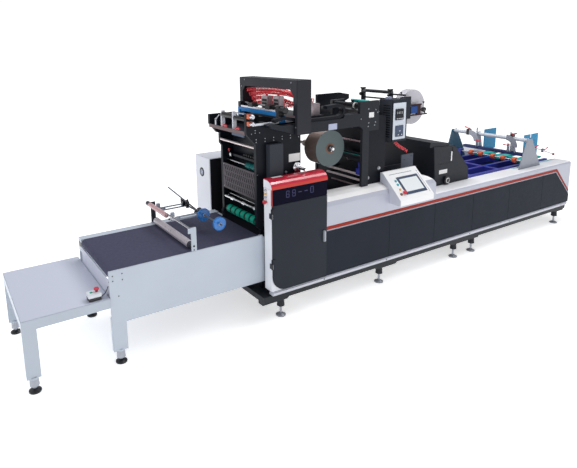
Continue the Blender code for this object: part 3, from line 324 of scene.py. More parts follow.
def paint_looks():
    look("white", WHITE_COLOR, 0.32, **WHITE_PAINT)
    look("charcoal", CHARCOAL_COLOR, 0.5, vary=0.12, grain=POWDER_GRAIN, specular=0.07)
    look("black", BLACK_COLOR, 0.42, **BLACK_PAINT)
    look("slate", (0.016, 0.019, 0.027), 0.42, vary=0.15, grain=FINE_GRAIN, specular=0.2)
    look("portal", (0.026, 0.027, 0.036), 0.4, vary=0.15, grain=FINE_GRAIN, specular=0.2)
    look("display", (0.002, 0.002, 0.014), 0.45, vary=0.1, specular=0.05)
    look("end sheet", (0.6, 0.62, 0.72), 0.5, vary=0.04)
    look("meter panel", (0.62, 0.67, 0.75), 0.4, vary=0.04)
    look("guard", (0.04, 0.028, 0.042), 0.45, vary=0.15, grain=POWDER_GRAIN, metal=0.3)
    look("stripe", STRIPE_COLOR, 0.45, vary=0.08, specular=0.2)
    look("sky blue", (0.006, 0.29, 0.56), 0.4, specular=0.3)
    look("navy", (0.035, 0.045, 0.36), 0.35, vary=0.12, coat=0.2)
    look("label", (0.8, 0.8, 0.8), 0.45, vary=0.04)
    look("lilac plate", (0.42, 0.46, 0.62), 0.4, vary=0.05)
    look("hanger", (0.36, 0.38, 0.44), 0.35, 0.4, vary=0.05)
    look("cyan strip", (0.42, 0.62, 0.7), 0.4, vary=0.06)


def metal_looks():
    look("skirt rail", (0.6, 0.61, 0.69), 0.35, 0.1, vary=0.04, **BRUSHED)
    look("aluminium", (0.66, 0.67, 0.7), 0.28, 0.9, vary=0.05, **BRUSHED)
    look("steel", (0.55, 0.55, 0.6), 0.24, 1.0, vary=0.1, grain=(500, 0.08), stretch=(1, 0.05, 1))
    look("dull screw", (0.36, 0.37, 0.41), 0.35, 0.6, vary=0.1)
    look("pink metal", (0.46, 0.33, 0.36), 0.3, 0.8, vary=0.15)


def plastic_looks():
    look("belt", (0.06, 0.061, 0.108), 0.75, vary=0.05, grain=(1800, 0.20), specular=0.25)
    look("teal belt", (0.03, 0.48, 0.44), 0.5, vary=0.15, grain=(1200, 0.25))
    look("orange plastic", (0.62, 0.11, 0.03), 0.35, vary=0.12, coat=0.2)
    look("red plastic", (0.62, 0.022, 0.04), 0.28, coat=0.4)
    look("red hose", (0.95, 0.075, 0.1), 0.3, coat=0.4)
    look("black plastic", PLASTIC_COLOR, 0.38, vary=0.15, grain=(1500, 0.18))
    look("green plastic", (0.002, 0.34, 0.2), 0.3, vary=0.05, coat=0.4)
    look("yellow plastic", (0.75, 0.42, 0.02), 0.35, vary=0.05)
    look("cyan plastic", (0.03, 0.42, 0.55), 0.3, vary=0.05, coat=0.3)
    look("brown plastic", (0.2, 0.09, 0.05), 0.45, vary=0.15)
    look("dark glass", (0.007, 0.01, 0.018), 0.25, vary=0.1, specular=0.2)
    look("screen", (0.84, 0.88, 0.9), 0.2, vary=0.02, coat=0.3)
    look("bezel", (0.055, 0.08, 0.14), 0.35, vary=0.05, specular=0.3)
    look("digits", (0.018, 0.016, 0.11), 0.3, vary=0.05)


def conveyor_looks():
    # The top-face zone paints the table's top paler and bluer than its sides: painted light on the top.
    look("table", TABLE_COLOR, 0.42, **SHEET_PAINT, zones=(
        *TABLE_FEET, dull((0.6, 0.63, 0.75), ("Z", 0.5622, 0.564))))
    look("conveyor side", (0.55, 0.61, 0.7), 0.42, **SHEET_PAINT, zones=TABLE_FEET)
    look("button box", PLASTIC_COLOR, 0.38, zones=(
        dull((0.74, 0.77, 0.82), ("Z", 0.5902, 0.6225)),
        dull((0.62, 0.03, 0.06), ("Z", 0.6332, 0.700))))
    look("bracket", STEEL_COLOR, 0.26, 1.0, zones=(
        zone((0.62, 0.4, 0.42), 0.4, 0.3, ("X", -2.0685, -2.0237), ("Y", -0.0205, 0.3755)),
        dull((0.03, 0.036, 0.05), ("Y", 0.3757, BEYOND)),
        dull(TABLE_COLOR, ("Y", FAR, -0.4937))))
    look("wheel arm", (0.46, 0.52, 0.61), 0.35, 0.1, zones=(
        dull(CLAMP_COLOR, ("X", -1.7445, -1.728), ("Y", -0.080, BEYOND), ("Z", 0.920, BEYOND)),
        dark(("Y", 0.030, 0.210), ("X", -1.748, -1.724), ("Z", 0.925, 0.985)),
        dull(CLAMP_COLOR, ("X", -1.7285, -1.7105), ("Z", 0.9105, 0.9295)),
        *bands(BLACK_COLOR, CLAMP_YS, 0.0165, ("X", -1.7565, -1.7035), ("Z", 0.9055, 0.9845))))
    look("press roller", (0.58, 0.53, 0.58), 0.3, 0.35, vary=0.04, zones=(
        dull(NECK_COLOR, ("Y", -0.434, -0.422)), dull(NECK_COLOR, ("Y", 0.305, 0.316)),
        chrome(("Y", FAR, -0.4342)), chrome(("Y", 0.316, BEYOND))))
    look("blue plastic", (0.012, 0.2, 0.62), 0.28, coat=0.4, zones=(dark(("Y", FAR, -0.4085)),))


def head_looks():
    look("near plate", BLACK_COLOR, 0.4, **BLACK_PAINT, zones=(
        dull((0.036, 0.041, 0.053), ("X", -1.2645, -1.1145), ("Y", FAR, -0.4505), ("Z", 1.049, 1.571)),
        chrome(("X", -0.990, -0.890), ("Y", FAR, -0.4506), ("Z", 1.270, 1.375))))
    look("head body", BLACK_COLOR, 0.4, **BLACK_PAINT, zones=(
        dull((0.16, 0.11, 0.115), ("X", -1.460, -1.4405), ("Z", 1.655, 1.700)),
        zone(PINK_COLOR, 0.3, 0.7, ("X", -1.343, -1.317), ("Z", 1.517, 1.543)),
        chrome(("X", -1.322, -1.262), ("Z", 0.934, 0.998))))
    look("infeed roller", GREEN_COLOR, 0.38, vary=0.15, grain=RUBBER_GRAIN, specular=0.2, zones=(
        *bands((0.004, 0.03, 0.025), RING_YS, 0.014),
        steel(("Y", FAR, -0.4002)), steel(("Y", 0.1962, BEYOND))))
    # Its colour is a darker teal than the infeed roller's green: painted shade for where this roller sits.
    look("glue roller", (0.003, 0.13, 0.13), 0.38, vary=0.15, grain=RUBBER_GRAIN, specular=0.2, zones=(
        steel(("Y", FAR, -0.4022)), steel(("Y", -0.1298, BEYOND))))
    look("blue beam", (0.004, 0.2, 0.56), 0.35, specular=0.3, zones=(
        steel(("Z", 1.8241, 1.8425)), chrome(("Z", 1.8425, 1.900)),
        *(dark(("X", -1.0935, -1.0265), ends, ("Z", 1.8245, BEYOND))
          for ends in (("Y", 0.235, BEYOND), ("Y", FAR, -0.350)))))
    look("valve blocks", (0.5, 0.42, 0.45), 0.35, 0.6, vary=0.12, zones=(
        dark(("Z", FAR, 1.7557)), dull((0.05, 0.05, 0.06), ("X", FAR, -0.9205))))


def frame_looks():
    look("base", (0.018, 0.022, 0.029), 0.5, vary=0.2, grain=POWDER_GRAIN, zones=MACHINE_FEET, specular=0.3)
    look("film roll", (0.085, 0.125, 0.135), 0.34, vary=0.25, grain=(40, 0.02), zones=(
        zone((0.36, 0.27, 0.245), 0.12, 0.0, ("Y", -0.3958, -0.215)),
        zone((0.42, 0.36, 0.34), 0.3, 0.6, ("Y", -0.215, BEYOND)),
        dark(("Y", -0.4125, -0.4004)), chrome(("Y", FAR, -0.4125))))
    look("rear roll", (0.5, 0.485, 0.54), 0.32, vary=0.08, coat=0.3, zones=(
        dark(("Y", FAR, -0.4004)), steel(("Y", -0.3097, BEYOND))))
    look("tension roller", BLACK_COLOR, 0.35, **BLACK_PAINT, zones=(
        dull((0.7, 0.7, 0.72), ("Y", -0.420, -0.405)),))
    look("frame body", BLACK_COLOR, 0.45, **BLACK_PAINT, zones=(
        zone(PINK_COLOR, 0.3, 0.6, ("X", -0.1935, -0.1665), ("Z", 1.070, 1.155)),
        dull((0.075, 0.085, 0.115), ("X", 0.439, 0.621), ("Y", -0.4405, -0.4295), ("Z", 1.084, 1.251))))
    look("top frame", (0.016, 0.018, 0.026), 0.35, coat=0.2, zones=(
        dull((0.005, 0.36, 0.34), ("X", -0.045, -0.015), ("Y", -0.4255, -0.1895), ("Z", 1.8285, 1.858)),))
    look("meter box", CHARCOAL_COLOR, 0.42, vary=0.12, specular=0.12, zones=(
        dull((0.05, 0.056, 0.07), ("X", 0.1885, 0.1905)),
        dark(("X", 0.1906, 0.1955)),
        dull((0.035, 0.016, 0.02), ("X", 0.5495, BEYOND), ("Z", 1.640, 1.770)),
        dull((0.02, 0.065, 0.24), ("X", 0.5495, 0.6455), ("Z", 1.6755, 1.7475))))


def housing_looks():
    # Its white is paler than the white paint elsewhere: painted light to brighten its end face, which lies in
    # shade.
    look("near cabinet", (0.86, 0.88, 0.94), 0.32, **WHITE_PAINT, zones=(dark(("X", FAR, -1.3478)),))
    look("door", CHARCOAL_COLOR, 0.45, vary=0.12, specular=0.15, grain=POWDER_GRAIN, zones=(
        zone(FOOT_COLOR, 0.35, 0.3, ("X", -0.7925, -0.7635), ("Y", FAR, -0.6545), ("Z", 0.636, 0.746)),
        dark(("X", FAR, -1.3435))))
    look("crimson", (0.6, 0.02, 0.05), 0.16, vary=0.06, coat=0.7, zones=(
        dull((0.6, 0.025, 0.012), ("Z", FAR, 1.238)),))
    look("far cabinet", (0.66, 0.68, 0.75), 0.32, **WHITE_PAINT, zones=(
        dull((0.012, 0.012, 0.016), ("Y", FAR, 0.4605)),))
    # Its faces towards -Y are painted in a darker white, a painted shade; the top keeps the brighter white.
    look("near housing", (0.88, 0.89, 0.93), 0.32, **WHITE_PAINT, zones=(
        dull(PAINTED_SHADE_WHITE, ("Y", FAR, -0.630)),))
    look("far housing", WHITE_COLOR, 0.32, **WHITE_PAINT, zones=(
        dull(STRIPE_COLOR, ("Y", 0.780, 0.7848), ("Z", 0.410, BEYOND)),
        dull(CHARCOAL_COLOR, ("Y", 0.7848, BEYOND))))
    # The zone paints the box's left face a darker white than the rest: painted shade.
    look("operator box", (0.93, 0.93, 0.95), 0.32, **COVER_PAINT, coat=0.2, zones=(
        dull((0.6, 0.62, 0.71), ("X", FAR, 0.059)),))
    # Its face towards -Y below the top is painted in a darker white, a painted shade; the top keeps the
    # brighter white.
    look("raised cover", (0.95, 0.95, 0.96), 0.32, **COVER_PAINT, coat=0.25, zones=(
        dull(PAINTED_SHADE_WHITE, ("Y", FAR, -0.600), ("Z", FAR, 0.990)),))


def delivery_looks():
    look("crossbar", (0.27, 0.29, 0.34), 0.34, 0.4, vary=0.05, zones=(
        dull((0.035, 0.12, 0.2), ("Y", 0.525, BEYOND), ("Z", FAR, 1.1905)),
        dull((0.03, 0.045, 0.16), ("Z", 0.9615, 1.0005), ("Y", -0.4805, 0.3605)),
        dull((0.56, 0.6, 0.67), ("X", 2.5655, 2.6145), ("Y", -0.5255, 0.5253), ("Z", 1.1425, 1.1915))))
    look("orange wheels", STEEL_COLOR, 0.25, 1.0, zones=bands((0.62, 0.1, 0.03), WHEEL_YS, 0.0225))


def make_looks():
    paint_looks()
    metal_looks()
    plastic_looks()
    conveyor_looks()
    head_looks()
    frame_looks()
    housing_looks()
    delivery_looks()


# Geometry


class Piece:
    """Detail geometry in one finish, which rides on one body."""

    every = []

    def __init__(self, name, finish, body=BODY):
        self.name, self.finish, self.body = name, finish, body
        self.bm = bmesh.new()
        Piece.every.append(self)

    def box(self, low, high, bevel=0.001):
        low, high = Vector(low), Vector(high)
        size = high - low
        made = bmesh.ops.create_cube(self.bm, size=1)["verts"]
        turn = Matrix.Translation((low + high) / 2) @ Matrix.Diagonal((*size, 1))
        bmesh.ops.transform(self.bm, matrix=turn, verts=made)
        if bevel:
            edges = list({edge for vert in made for edge in vert.link_edges})
            offset = min(bevel, min(size) * 0.4)
            bmesh.ops.bevel(self.bm, geom=edges, offset=offset, segments=2, affect="EDGES")

    def turned(self, profile, base, direction, sides=20):
        """A profile of (radius, height) points, turned round direction from base."""
        lean = UP.rotation_difference(Vector(direction)).to_matrix().to_4x4()
        turn = Matrix.Translation(base) @ lean
        rings = []
        for radius, height in profile:
            count = sides if radius else 1
            rings.append([
                self.bm.verts.new(turn @ Vector((radius * math.cos(angle), radius * math.sin(angle), height)))
                for angle in (2 * math.pi * k / sides for k in range(count))
            ])
        for lower, upper in zip(rings, rings[1:]):
            for k in range(sides):
                corners = [lower[k % len(lower)], lower[(k + 1) % len(lower)]]
                corners += [upper[(k + 1) % len(upper)], upper[k % len(upper)]]
                self.bm.faces.new(list(dict.fromkeys(corners)))
        for end in (rings[0], rings[-1]):
            if len(end) > 1:
                self.bm.faces.new(end)

    def disc(self, base, direction, radius, height, sides=24):
        self.turned([(radius, 0), (radius, height), (0, height)], base, direction, sides)

    def cap(self, base, direction, rim, top, sides=20):
        """A round cap, straight up to its rim and chamfered up to its top, each a (radius, height)."""
        self.turned([(rim[0], 0), rim, top, (0, top[1])], base, direction, sides)

    def rod(self, start, end, radius, sides=16):
        start, end = Vector(start), Vector(end)
        length = (end - start).length
        chamfer = min(0.0006, radius * 0.3)
        profile = [(radius - chamfer, 0), (radius, chamfer)]
        profile += [(radius, length - chamfer), (radius - chamfer, length)]
        self.turned(profile, start, end - start, sides)

    def prism(self, outline, start, end):
        """The (y, z) outline extruded along X."""
        low = [self.bm.verts.new((start, *point)) for point in outline]
        high = [self.bm.verts.new((end, *point)) for point in outline]
        self.bm.faces.new(low)
        self.bm.faces.new(high)
        for k in range(len(outline)):
            after = (k + 1) % len(outline)
            self.bm.faces.new([low[k], low[after], high[after], high[k]])

    def screw(self, base, direction, radius=0.006, height=0.003):
        """A domed socket head with its recess."""
        profile = [(radius, 0), (radius, height * 0.6), (radius * 0.85, height), (radius * 0.45, height),
                   (radius * 0.42, height * 0.5), (0, height * 0.5)]
        self.turned(profile, base, direction, 12)

    def screws_on(self, face, places, radius):
        for x, z in places:
            self.screw((x, face + SINK, z), NEAR, radius)

    def knob(self, base, direction, radius, height):
        """A turned hand knob with a waist and a crowned head."""
        profile = [(radius * 0.45, 0), (radius * 0.45, height * 0.35), (radius, height * 0.45),
                   (radius, height * 0.85), (radius * 0.8, height), (0, height * 1.04)]
        self.turned(profile, base, direction, 18)

    def lever(self, base, direction, arm, radius):
        """A clamp lever: a hub along direction and an arm with a thicker end."""
        base, direction, arm = Vector(base), Vector(direction), Vector(arm)
        hub_height, arm_height = 0.018, 0.011
        self.cap(base, direction, (radius * 1.6, 0.014), (radius * 1.2, hub_height), 14)
        length = arm.length
        profile = [(radius * 0.8, 0), (radius * 0.8, length * 0.35), (radius * 1.3, length * 0.6),
                   (radius * 1.3, length * 0.95), (0, length)]
        self.turned(profile, base + direction.normalized() * arm_height, arm, 12)

    def make(self):
        bmesh.ops.recalc_face_normals(self.bm, faces=self.bm.faces)
        mesh = bpy.data.meshes.new(self.name)
        self.bm.to_mesh(mesh)
        self.bm.free()
        mesh.materials.append(LOOKS[self.finish])
        for polygon in mesh.polygons:
            polygon.use_smooth = True
        mesh.set_sharp_from_angle(angle=math.radians(35))
        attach(put(self.name, mesh), self.body)


def smooth_path(points, count, steps=20):
    """Evenly spaced points on a smooth curve through the given ones."""
    points = [Vector(point) for point in points]
    padded = [2 * points[0] - points[1]] + points + [2 * points[-1] - points[-2]]
    dense = []
    for a, b, c, d in zip(padded, padded[1:], padded[2:], padded[3:]):
        for k in range(steps):
            t = k / steps
            dense.append((2 * b + (c - a) * t + (2 * a - 5 * b + 4 * c - d) * t * t
                          + (3 * b - a - 3 * c + d) * t ** 3) / 2)
    dense.append(points[-1])
    lengths = [0.0]
    for first, second in zip(dense, dense[1:]):
        lengths.append(lengths[-1] + (second - first).length)
    path, index = [], 0
    for k in range(count):
        goal = lengths[-1] * k / (count - 1)
        while index < len(lengths) - 2 and lengths[index + 1] < goal:
            index += 1
        share = (goal - lengths[index]) / (lengths[index + 1] - lengths[index])
        path.append(dense[index].lerp(dense[index + 1], min(share, 1.0)))
    return path


# Cords


LEAD_DIAMETER = 0.007
LEAD_ROUTE = [(-2.7997, -0.462, 0.578), (-2.786, -0.463, 0.579), (-2.766, -0.472, 0.598),
              (-2.753, -0.480, 0.626), (-2.7436, -0.486, 0.652)]
COIL_DIAMETER, COIL_TUBE, COIL_PITCH = 0.046, 0.010, 0.0165
COIL_START = 0.318
COILS = (
    [(-0.950, COIL_START + 0.001, 1.984), (-0.950, 0.290, 1.984), (-0.875, 0.120, 1.992),
     (-0.800, -0.060, 1.980), (-0.750, -0.220, 1.930), (-0.715, -0.320, 1.9045)],
    [(-0.925, COIL_START, 1.936), (-0.925, 0.290, 1.936), (-0.825, 0.120, 1.955),
     (-0.745, -0.060, 1.943), (-0.650, -0.200, 1.900), (-0.600, -0.280, 1.8850)],
    [(-0.895, COIL_START, 1.894), (-0.895, 0.290, 1.894), (-0.815, 0.130, 1.903),
     (-0.780, -0.040, 1.886), (-0.700, -0.200, 1.832), (-0.700, -0.2665, 1.830)],
    [(-0.878, COIL_START + 0.001, 1.846), (-0.878, 0.290, 1.846), (-0.800, 0.140, 1.854),
     (-0.740, -0.030, 1.836), (-0.605, -0.130, 1.811), (-0.600, -0.1955, 1.810)],
)
METER_DIAMETER, METER_TUBE, METER_PITCH = 0.036, 0.008, 0.024
METER_ROUTE = [(0.380, -0.392, 1.4225), (0.380, -0.392, 1.395), (0.440, -0.400, 1.340),
               (0.520, -0.404, 1.295), (0.540, -0.428, 1.2745)]
TURN_STEPS = 12


def tube(name, path, diameter, finish, resolution):
    curve = bpy.data.curves.new(name, "CURVE")
    curve.dimensions = "3D"
    curve.bevel_depth = diameter / 2
    curve.bevel_resolution = resolution
    curve.use_fill_caps = True
    spline = curve.splines.new("POLY")
    spline.points.add(len(path) - 1)
    for point, place in zip(spline.points, path):
        point.co = (*place, 1.0)
    spline.use_smooth = True
    curve.materials.append(LOOKS[finish])
    cord = put(name, curve)
    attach(cord, BODY)
    return cord


def run_length(path):
    return sum((second - first).length for first, second in zip(path, path[1:]))


def curly(points, outer, diameter, pitch):
    """A helix wound round a smooth line."""
    total = run_length(smooth_path(points, 120))
    radius = (outer - diameter) / 2
    count = int(total / pitch) * TURN_STEPS
    even = smooth_path(points, count + 1)
    side = UP.copy()
    path = []
    for k, place in enumerate(even):
        along = (even[min(k + 1, count)] - even[max(k - 1, 0)]).normalized()
        side = (side - along * side.dot(along)).normalized()
        angle = 2 * math.pi * k / TURN_STEPS
        turn = side * math.cos(angle) + along.cross(side) * math.sin(angle)
        path.append(place + turn * radius)
    return path


def make_lead():
    path = smooth_path(LEAD_ROUTE, 24)
    lead = tube("lead", path, LEAD_DIAMETER, "black plastic", 4)
    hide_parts("button_box_lead")


def make_hose(name, node, points, outer, diameter, pitch):
    path = curly(points, outer, diameter, pitch)
    hose = tube(name, path, diameter, "red hose", 2)
    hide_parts(node)


def make_cords():
    make_lead()
    for k, points in enumerate(COILS, 1):
        make_hose("curly_hose_" + str(k), "coil_hose_" + str(k), points, COIL_DIAMETER, COIL_TUBE, COIL_PITCH)
    make_hose("curly_hose_5", "meter_hose", METER_ROUTE, METER_DIAMETER, METER_TUBE, METER_PITCH)


# Finishes of the CAD nodes


FINISHES = {
    "table": "feed_table",
    "conveyor side": "conveyor_side_near conveyor_side_far",
    "black plastic": "housing_handwheel",
    "display": "display_panel",
    "belt": "conveyor_belt",
    "charcoal": "near_panels conveyor_bed",
    "door": "cabinet_door",
    "guard": "head_guard",
    "bracket": "hold_down_bracket",
    "skirt rail": "near_skirt_rail far_skirt_rail",
    "crossbar": "delivery_crossbar",
    "blue plastic": "blue_wheel_near blue_wheel_far",
    "sky blue": "guide_plate_near guide_plate_far",
    "base": "base_frame",
    "black": "machine_bed head_plate_far second_frame_far drag_chain delivery_deck",
    "slate": "unwind_arm_near second_frame_near transverse_housing",
    "near plate": "head_plate_near",
    "head body": "head_body",
    "frame body": "second_frame_body",
    "top frame": "unwind_top",
    "raised cover": "near_raised_cover",
    "stripe": "near_stripe",
    "crimson": "cabinet_hood",
    "navy": "delivery_beams",
    "teal belt": "delivery_belts",
    "red hose": "coil_hose_1 coil_hose_2 coil_hose_3 coil_hose_4 meter_hose",
}

OWN_FINISH = (
    "button box", "press roller", "wheel arm", "infeed roller", "glue roller", "blue beam", "valve blocks",
    "portal", "film roll", "tension roller", "rear roll", "meter box", "near housing", "far housing",
    "operator box", "near cabinet", "far cabinet", "orange wheels",
)


def dress_nodes(frame):
    """Nodes in OWN_FINISH have a finish that is named after them."""
    finish_of = {name.replace(" ", "_"): name for name in OWN_FINISH}
    for finish, names in FINISHES.items():
        finish_of.update((name, finish) for name in names.split())
    for name, finish in finish_of.items():
        materials = frame["nodes"][name].data.materials
        materials.clear()
        materials.append(LOOKS[finish])


# Details of the conveyor and its bracket


# How far small pieces sink into a face, and plates rise from it
SINK, PLATE_RISE = 0.0005, 0.0008
SIDE_SCREWS = ((-2.710, 0.731), (-2.710, 0.691), (-2.635, 0.736), (-2.635, 0.687), (-2.672, 0.560))


def conveyor_details():
    near_face, flange_face, end_face = -0.504, -0.502, -2.740
    screws = Piece("conveyor_screws", "black plastic")
    screws.screws_on(near_face, SIDE_SCREWS, 0.005)
    for z in (0.690, 0.735):
        screws.screw((end_face + SINK, -0.498, z), LEFT, 0.004)
    for z, radius, height in ((0.817, 0.008, 0.005), (0.785, 0.006, 0.004)):
        screws.screw((-2.018, flange_face + SINK, z), NEAR, radius, height)
    Piece("start_button", "green plastic").cap((-2.868, -0.457, 0.6208), UP, (0.011, 0.004), (0.009, 0.006))
    Piece("conveyor_end_sheet", "end sheet").box((-2.7385, -0.4917, 0.490), (-2.7345, 0.3017, 0.7005), 0.0008)
    block = Piece("rail_end", "black plastic")
    block.box((end_face - 0.0015, 0.306, 0.700), (end_face + 0.050, 0.3735, 0.742))


def bracket_details():
    Piece("bracket_washer", "white").cap((-2.0395, 0.380, 0.822), LEFT, (0.016, 0.004), (0.012, 0.006))
    clamps = Piece("bracket_clamps", "black plastic")
    clamps.knob((-2.036, -0.054, 0.938), -UP, 0.009, 0.018)
    clamps.screw((-1.720, -0.4085, 0.920), NEAR, 0.010, 0.005)
    clamps.box((-1.742, 0.322, 0.924), (-1.722, 0.346, 0.972), 0.002)
    clamps.box((-1.746, 0.200, 0.906), (-1.714, 0.224, 0.968), 0.002)
    clamps.knob((-1.730, 0.207, 0.968), UP, 0.009, 0.022)
    clamps.box((-1.738, -0.030, 0.906), (-1.704, -0.004, 0.962), 0.002)
    clamps.knob((-1.738, -0.017, 0.935), LEFT, 0.014, 0.026)
    clamps.knob((-1.720, 0.072, 0.912), -UP, 0.012, 0.024)
    bright = Piece("bracket_bright", "steel")
    bright.box((-2.052, -0.152, 0.944), (-2.020, -0.126, 0.976), 0.002)
    bright.box((-1.736, 0.242, 0.954), (-1.704, 0.256, 0.972), 0.002)
    bright.box((-1.738, -0.088, 0.906), (-1.704, -0.0765, 0.942), 0.002)


# Details of the head


HEAD_FACE, FRAME_FACE = -0.450, -0.530
HUB_X, HUB_Z, HUB_FACE = -0.940, 1.322, -0.4768
HUB_CIRCLE = 0.034
HEAD_SCREW_XS = (-1.363, -1.271, -1.181, -1.090, -0.999, -0.908)
PLATE_SCREWS = ((-1.408, 1.672), (-1.372, 1.699), (-1.327, 1.675), (-1.372, 1.677), (-1.356, 1.305))
GUARD_SCREWS = ((0.215, 1.064), (0.215, 1.284), (-0.385, 1.070), (-0.385, 1.284))
PORTAL_SCREWS = ((0.286, 2.085), (-0.480, 2.085), (0.345, 2.018), (-0.545, 1.700))
TRAY_LEFT, TRAY_TOP = -1.440, 1.6655
LEDGE_TOP = 1.3915


def head_details():
    screws = Piece("head_screws", "dull screw")
    screws.screws_on(HEAD_FACE, [(x, z) for x in HEAD_SCREW_XS for z in (1.595, 1.619)], 0.0055)
    screws.screws_on(HEAD_FACE, PLATE_SCREWS, 0.005)
    for k in range(4):
        angle = math.pi / 4 + math.pi / 2 * k
        x = HUB_X + HUB_CIRCLE * math.cos(angle)
        z = HUB_Z + HUB_CIRCLE * math.sin(angle)
        screws.screw((x, HUB_FACE, z), NEAR, 0.006, 0.004)
    for y, z in GUARD_SCREWS:
        screws.screw((-1.3145, y, z), LEFT)
    for y, z in PORTAL_SCREWS:
        screws.screw((-1.0115, y, z), LEFT, 0.007)
    screws.knob((-1.061, HEAD_FACE + SINK, 1.293), NEAR, 0.012, 0.022)


def bare_plates():
    plates = Piece("bare_plates", "label")
    arm_plate = Piece("arm_plate", "lilac plate")
    for piece, face, left, right, low, high in (
            (plates, HEAD_FACE, -1.018, -0.893, 1.375, 1.447),
            (plates, FRAME_FACE, -0.126, -0.062, 1.704, 1.753),
            (plates, HEAD_FACE, 1.035, 1.172, 0.956, 1.000),
            (arm_plate, FRAME_FACE, -0.628, -0.526, 1.634, 1.689)):
        piece.box((left, face - PLATE_RISE, low), (right, face + SINK, high), 0.0002)


def guide_details():
    bar = Piece("guide_bar", "white")
    for start, end in ((-1.372, -1.115), (-1.045, -0.965)):
        bar.box((start, -0.446, 1.7348), (end, -0.418, 1.752))


def tray_details():
    left, middle, top = TRAY_LEFT, TRAY_LEFT + 0.020, TRAY_TOP
    blocks = Piece("tray_blocks", "orange plastic")
    for low in (1.746, 1.808):
        blocks.box((-1.456, -0.488, low), (-1.418, -0.4495, low + 0.038), 0.002)
    knobs = Piece("tray_knobs", "steel")
    profile = [(0.016, 0), (0.020, 0.006), (0.020, 0.034), (0.016, 0.040), (0, 0.040)]
    for z in (1.765, 1.827):
        knobs.turned(profile, (-1.437, -0.487, z), NEAR)
    knobs.rod((-1.430, -0.190, 1.838), (-1.422, -0.410, 1.838), 0.006)
    knobs.turned([(0.012, 0), (0.012, 0.004), (0.005, 0.010), (0.005, 0.080), (0, 0.082)],
                 (-1.445, 0.111, 1.744), (0, -0.8, 0.6), 12)
    knobs.box((-1.450, 0.100, top), (-1.438, 0.122, 1.752))
    stands = Piece("tray_stands", "white")
    stands.box((left, 0.012, top), (left + 0.040, 0.026, 1.836), 0.002)
    stands.box((left, -0.195, top), (left + 0.040, -0.181, 1.840), 0.002)
    rods = Piece("tray_rods", "black plastic")
    rods.rod((middle, -0.182, 1.800), (middle, 0.013, 1.800), 0.025, 24)
    rods.rod((middle, -0.4148, 1.790), (middle, -0.194, 1.790), 0.018, 20)
    levers = Piece("tray_levers", "red plastic")
    for y in (-0.050, -0.273):
        levers.box((left - 0.008, y - 0.010, top), (left + 0.010, y + 0.010, 1.716))
        levers.lever((left - 0.007, y, 1.708), LEFT, (0, -0.070, 0.002), 0.006)
    Piece("tray_strip", "bezel").box((-1.4565, -0.400, 1.640), (-1.446, -0.200, 1.662))


def ledge_details():
    """What shows in the head above the guard."""
    gauge_y, gauge_z = 0.155, 1.380
    gauge = Piece("gauge", "black plastic")
    gauge.turned([(0.018, 0), (0.021, 0.004), (0.021, 0.014), (0.018, 0.016), (0.017, 0.013), (0, 0.013)],
                 (-1.2615, gauge_y, gauge_z), LEFT, 24)
    Piece("gauge_dial", "label").disc((-1.2747, gauge_y, gauge_z), LEFT, 0.0165, 0.0005)
    knobs = Piece("ledge_knobs", "black plastic")
    for k in range(6):
        knobs.knob((-1.245, -0.060 - 0.040 * k, LEDGE_TOP), UP, 0.009, 0.024)
    Piece("regulator", "red plastic").knob((-1.245, 0.225, LEDGE_TOP), UP, 0.012, 0.034)


def beam_details():
    motor = Piece("beam_motor", "black plastic")
    motor.box((-1.120, -0.446, 1.790), (-1.062, -0.400, 1.884), 0.003)
    motor.cap((-1.092, -0.440, 1.852), NEAR, (0.030, 0.070), (0.024, 0.078), 24)
    cap = Piece("beam_cap", "red plastic")
    cap.cap((-1.060, 0.288, 1.850), -NEAR, (0.014, 0.012), (0.010, 0.016), 18)
    carriage = Piece("beam_carriage", "black plastic")
    for y in (-0.230, 0.060):
        carriage.box((-1.096, y - 0.040, 1.838), (-1.024, y + 0.040, 1.878), 0.003)
    caps = Piece("valve_caps", "red plastic")
    for x, y, top in ((-0.890, 0.075, 1.930), (-0.890, -0.120, 1.940), (-0.720, -0.300, 1.880),
                      (-0.585, -0.240, 1.860)):
        caps.cap((x, y, top - SINK), UP, (0.012, 0.010), (0.008, 0.014), 16)
    slots = Piece("valve_slots", "black plastic")
    for low_y, high_y, top in ((0.020, 0.130, 1.930), (-0.170, -0.070, 1.940)):
        for k in range(4):
            z = top - 0.040 - 0.034 * k
            slots.box((-0.9212, low_y + 0.014, z - 0.011), (-0.919, high_y - 0.014, z + 0.011), 0.0008)


# Details of the second frame


ARM_BACK = -0.4995
ARM_SCREWS = ((-0.128, 1.654), (-0.133, 1.620), (-0.040, 1.654), (-0.050, 1.625), (-0.038, 1.775),
              (-0.012, 1.746), (-0.228, 1.700), (-0.133, 1.788))
SHAFT_NUTS = ((0.051, -0.500, 1.180), (-0.097, -0.500, 1.101))


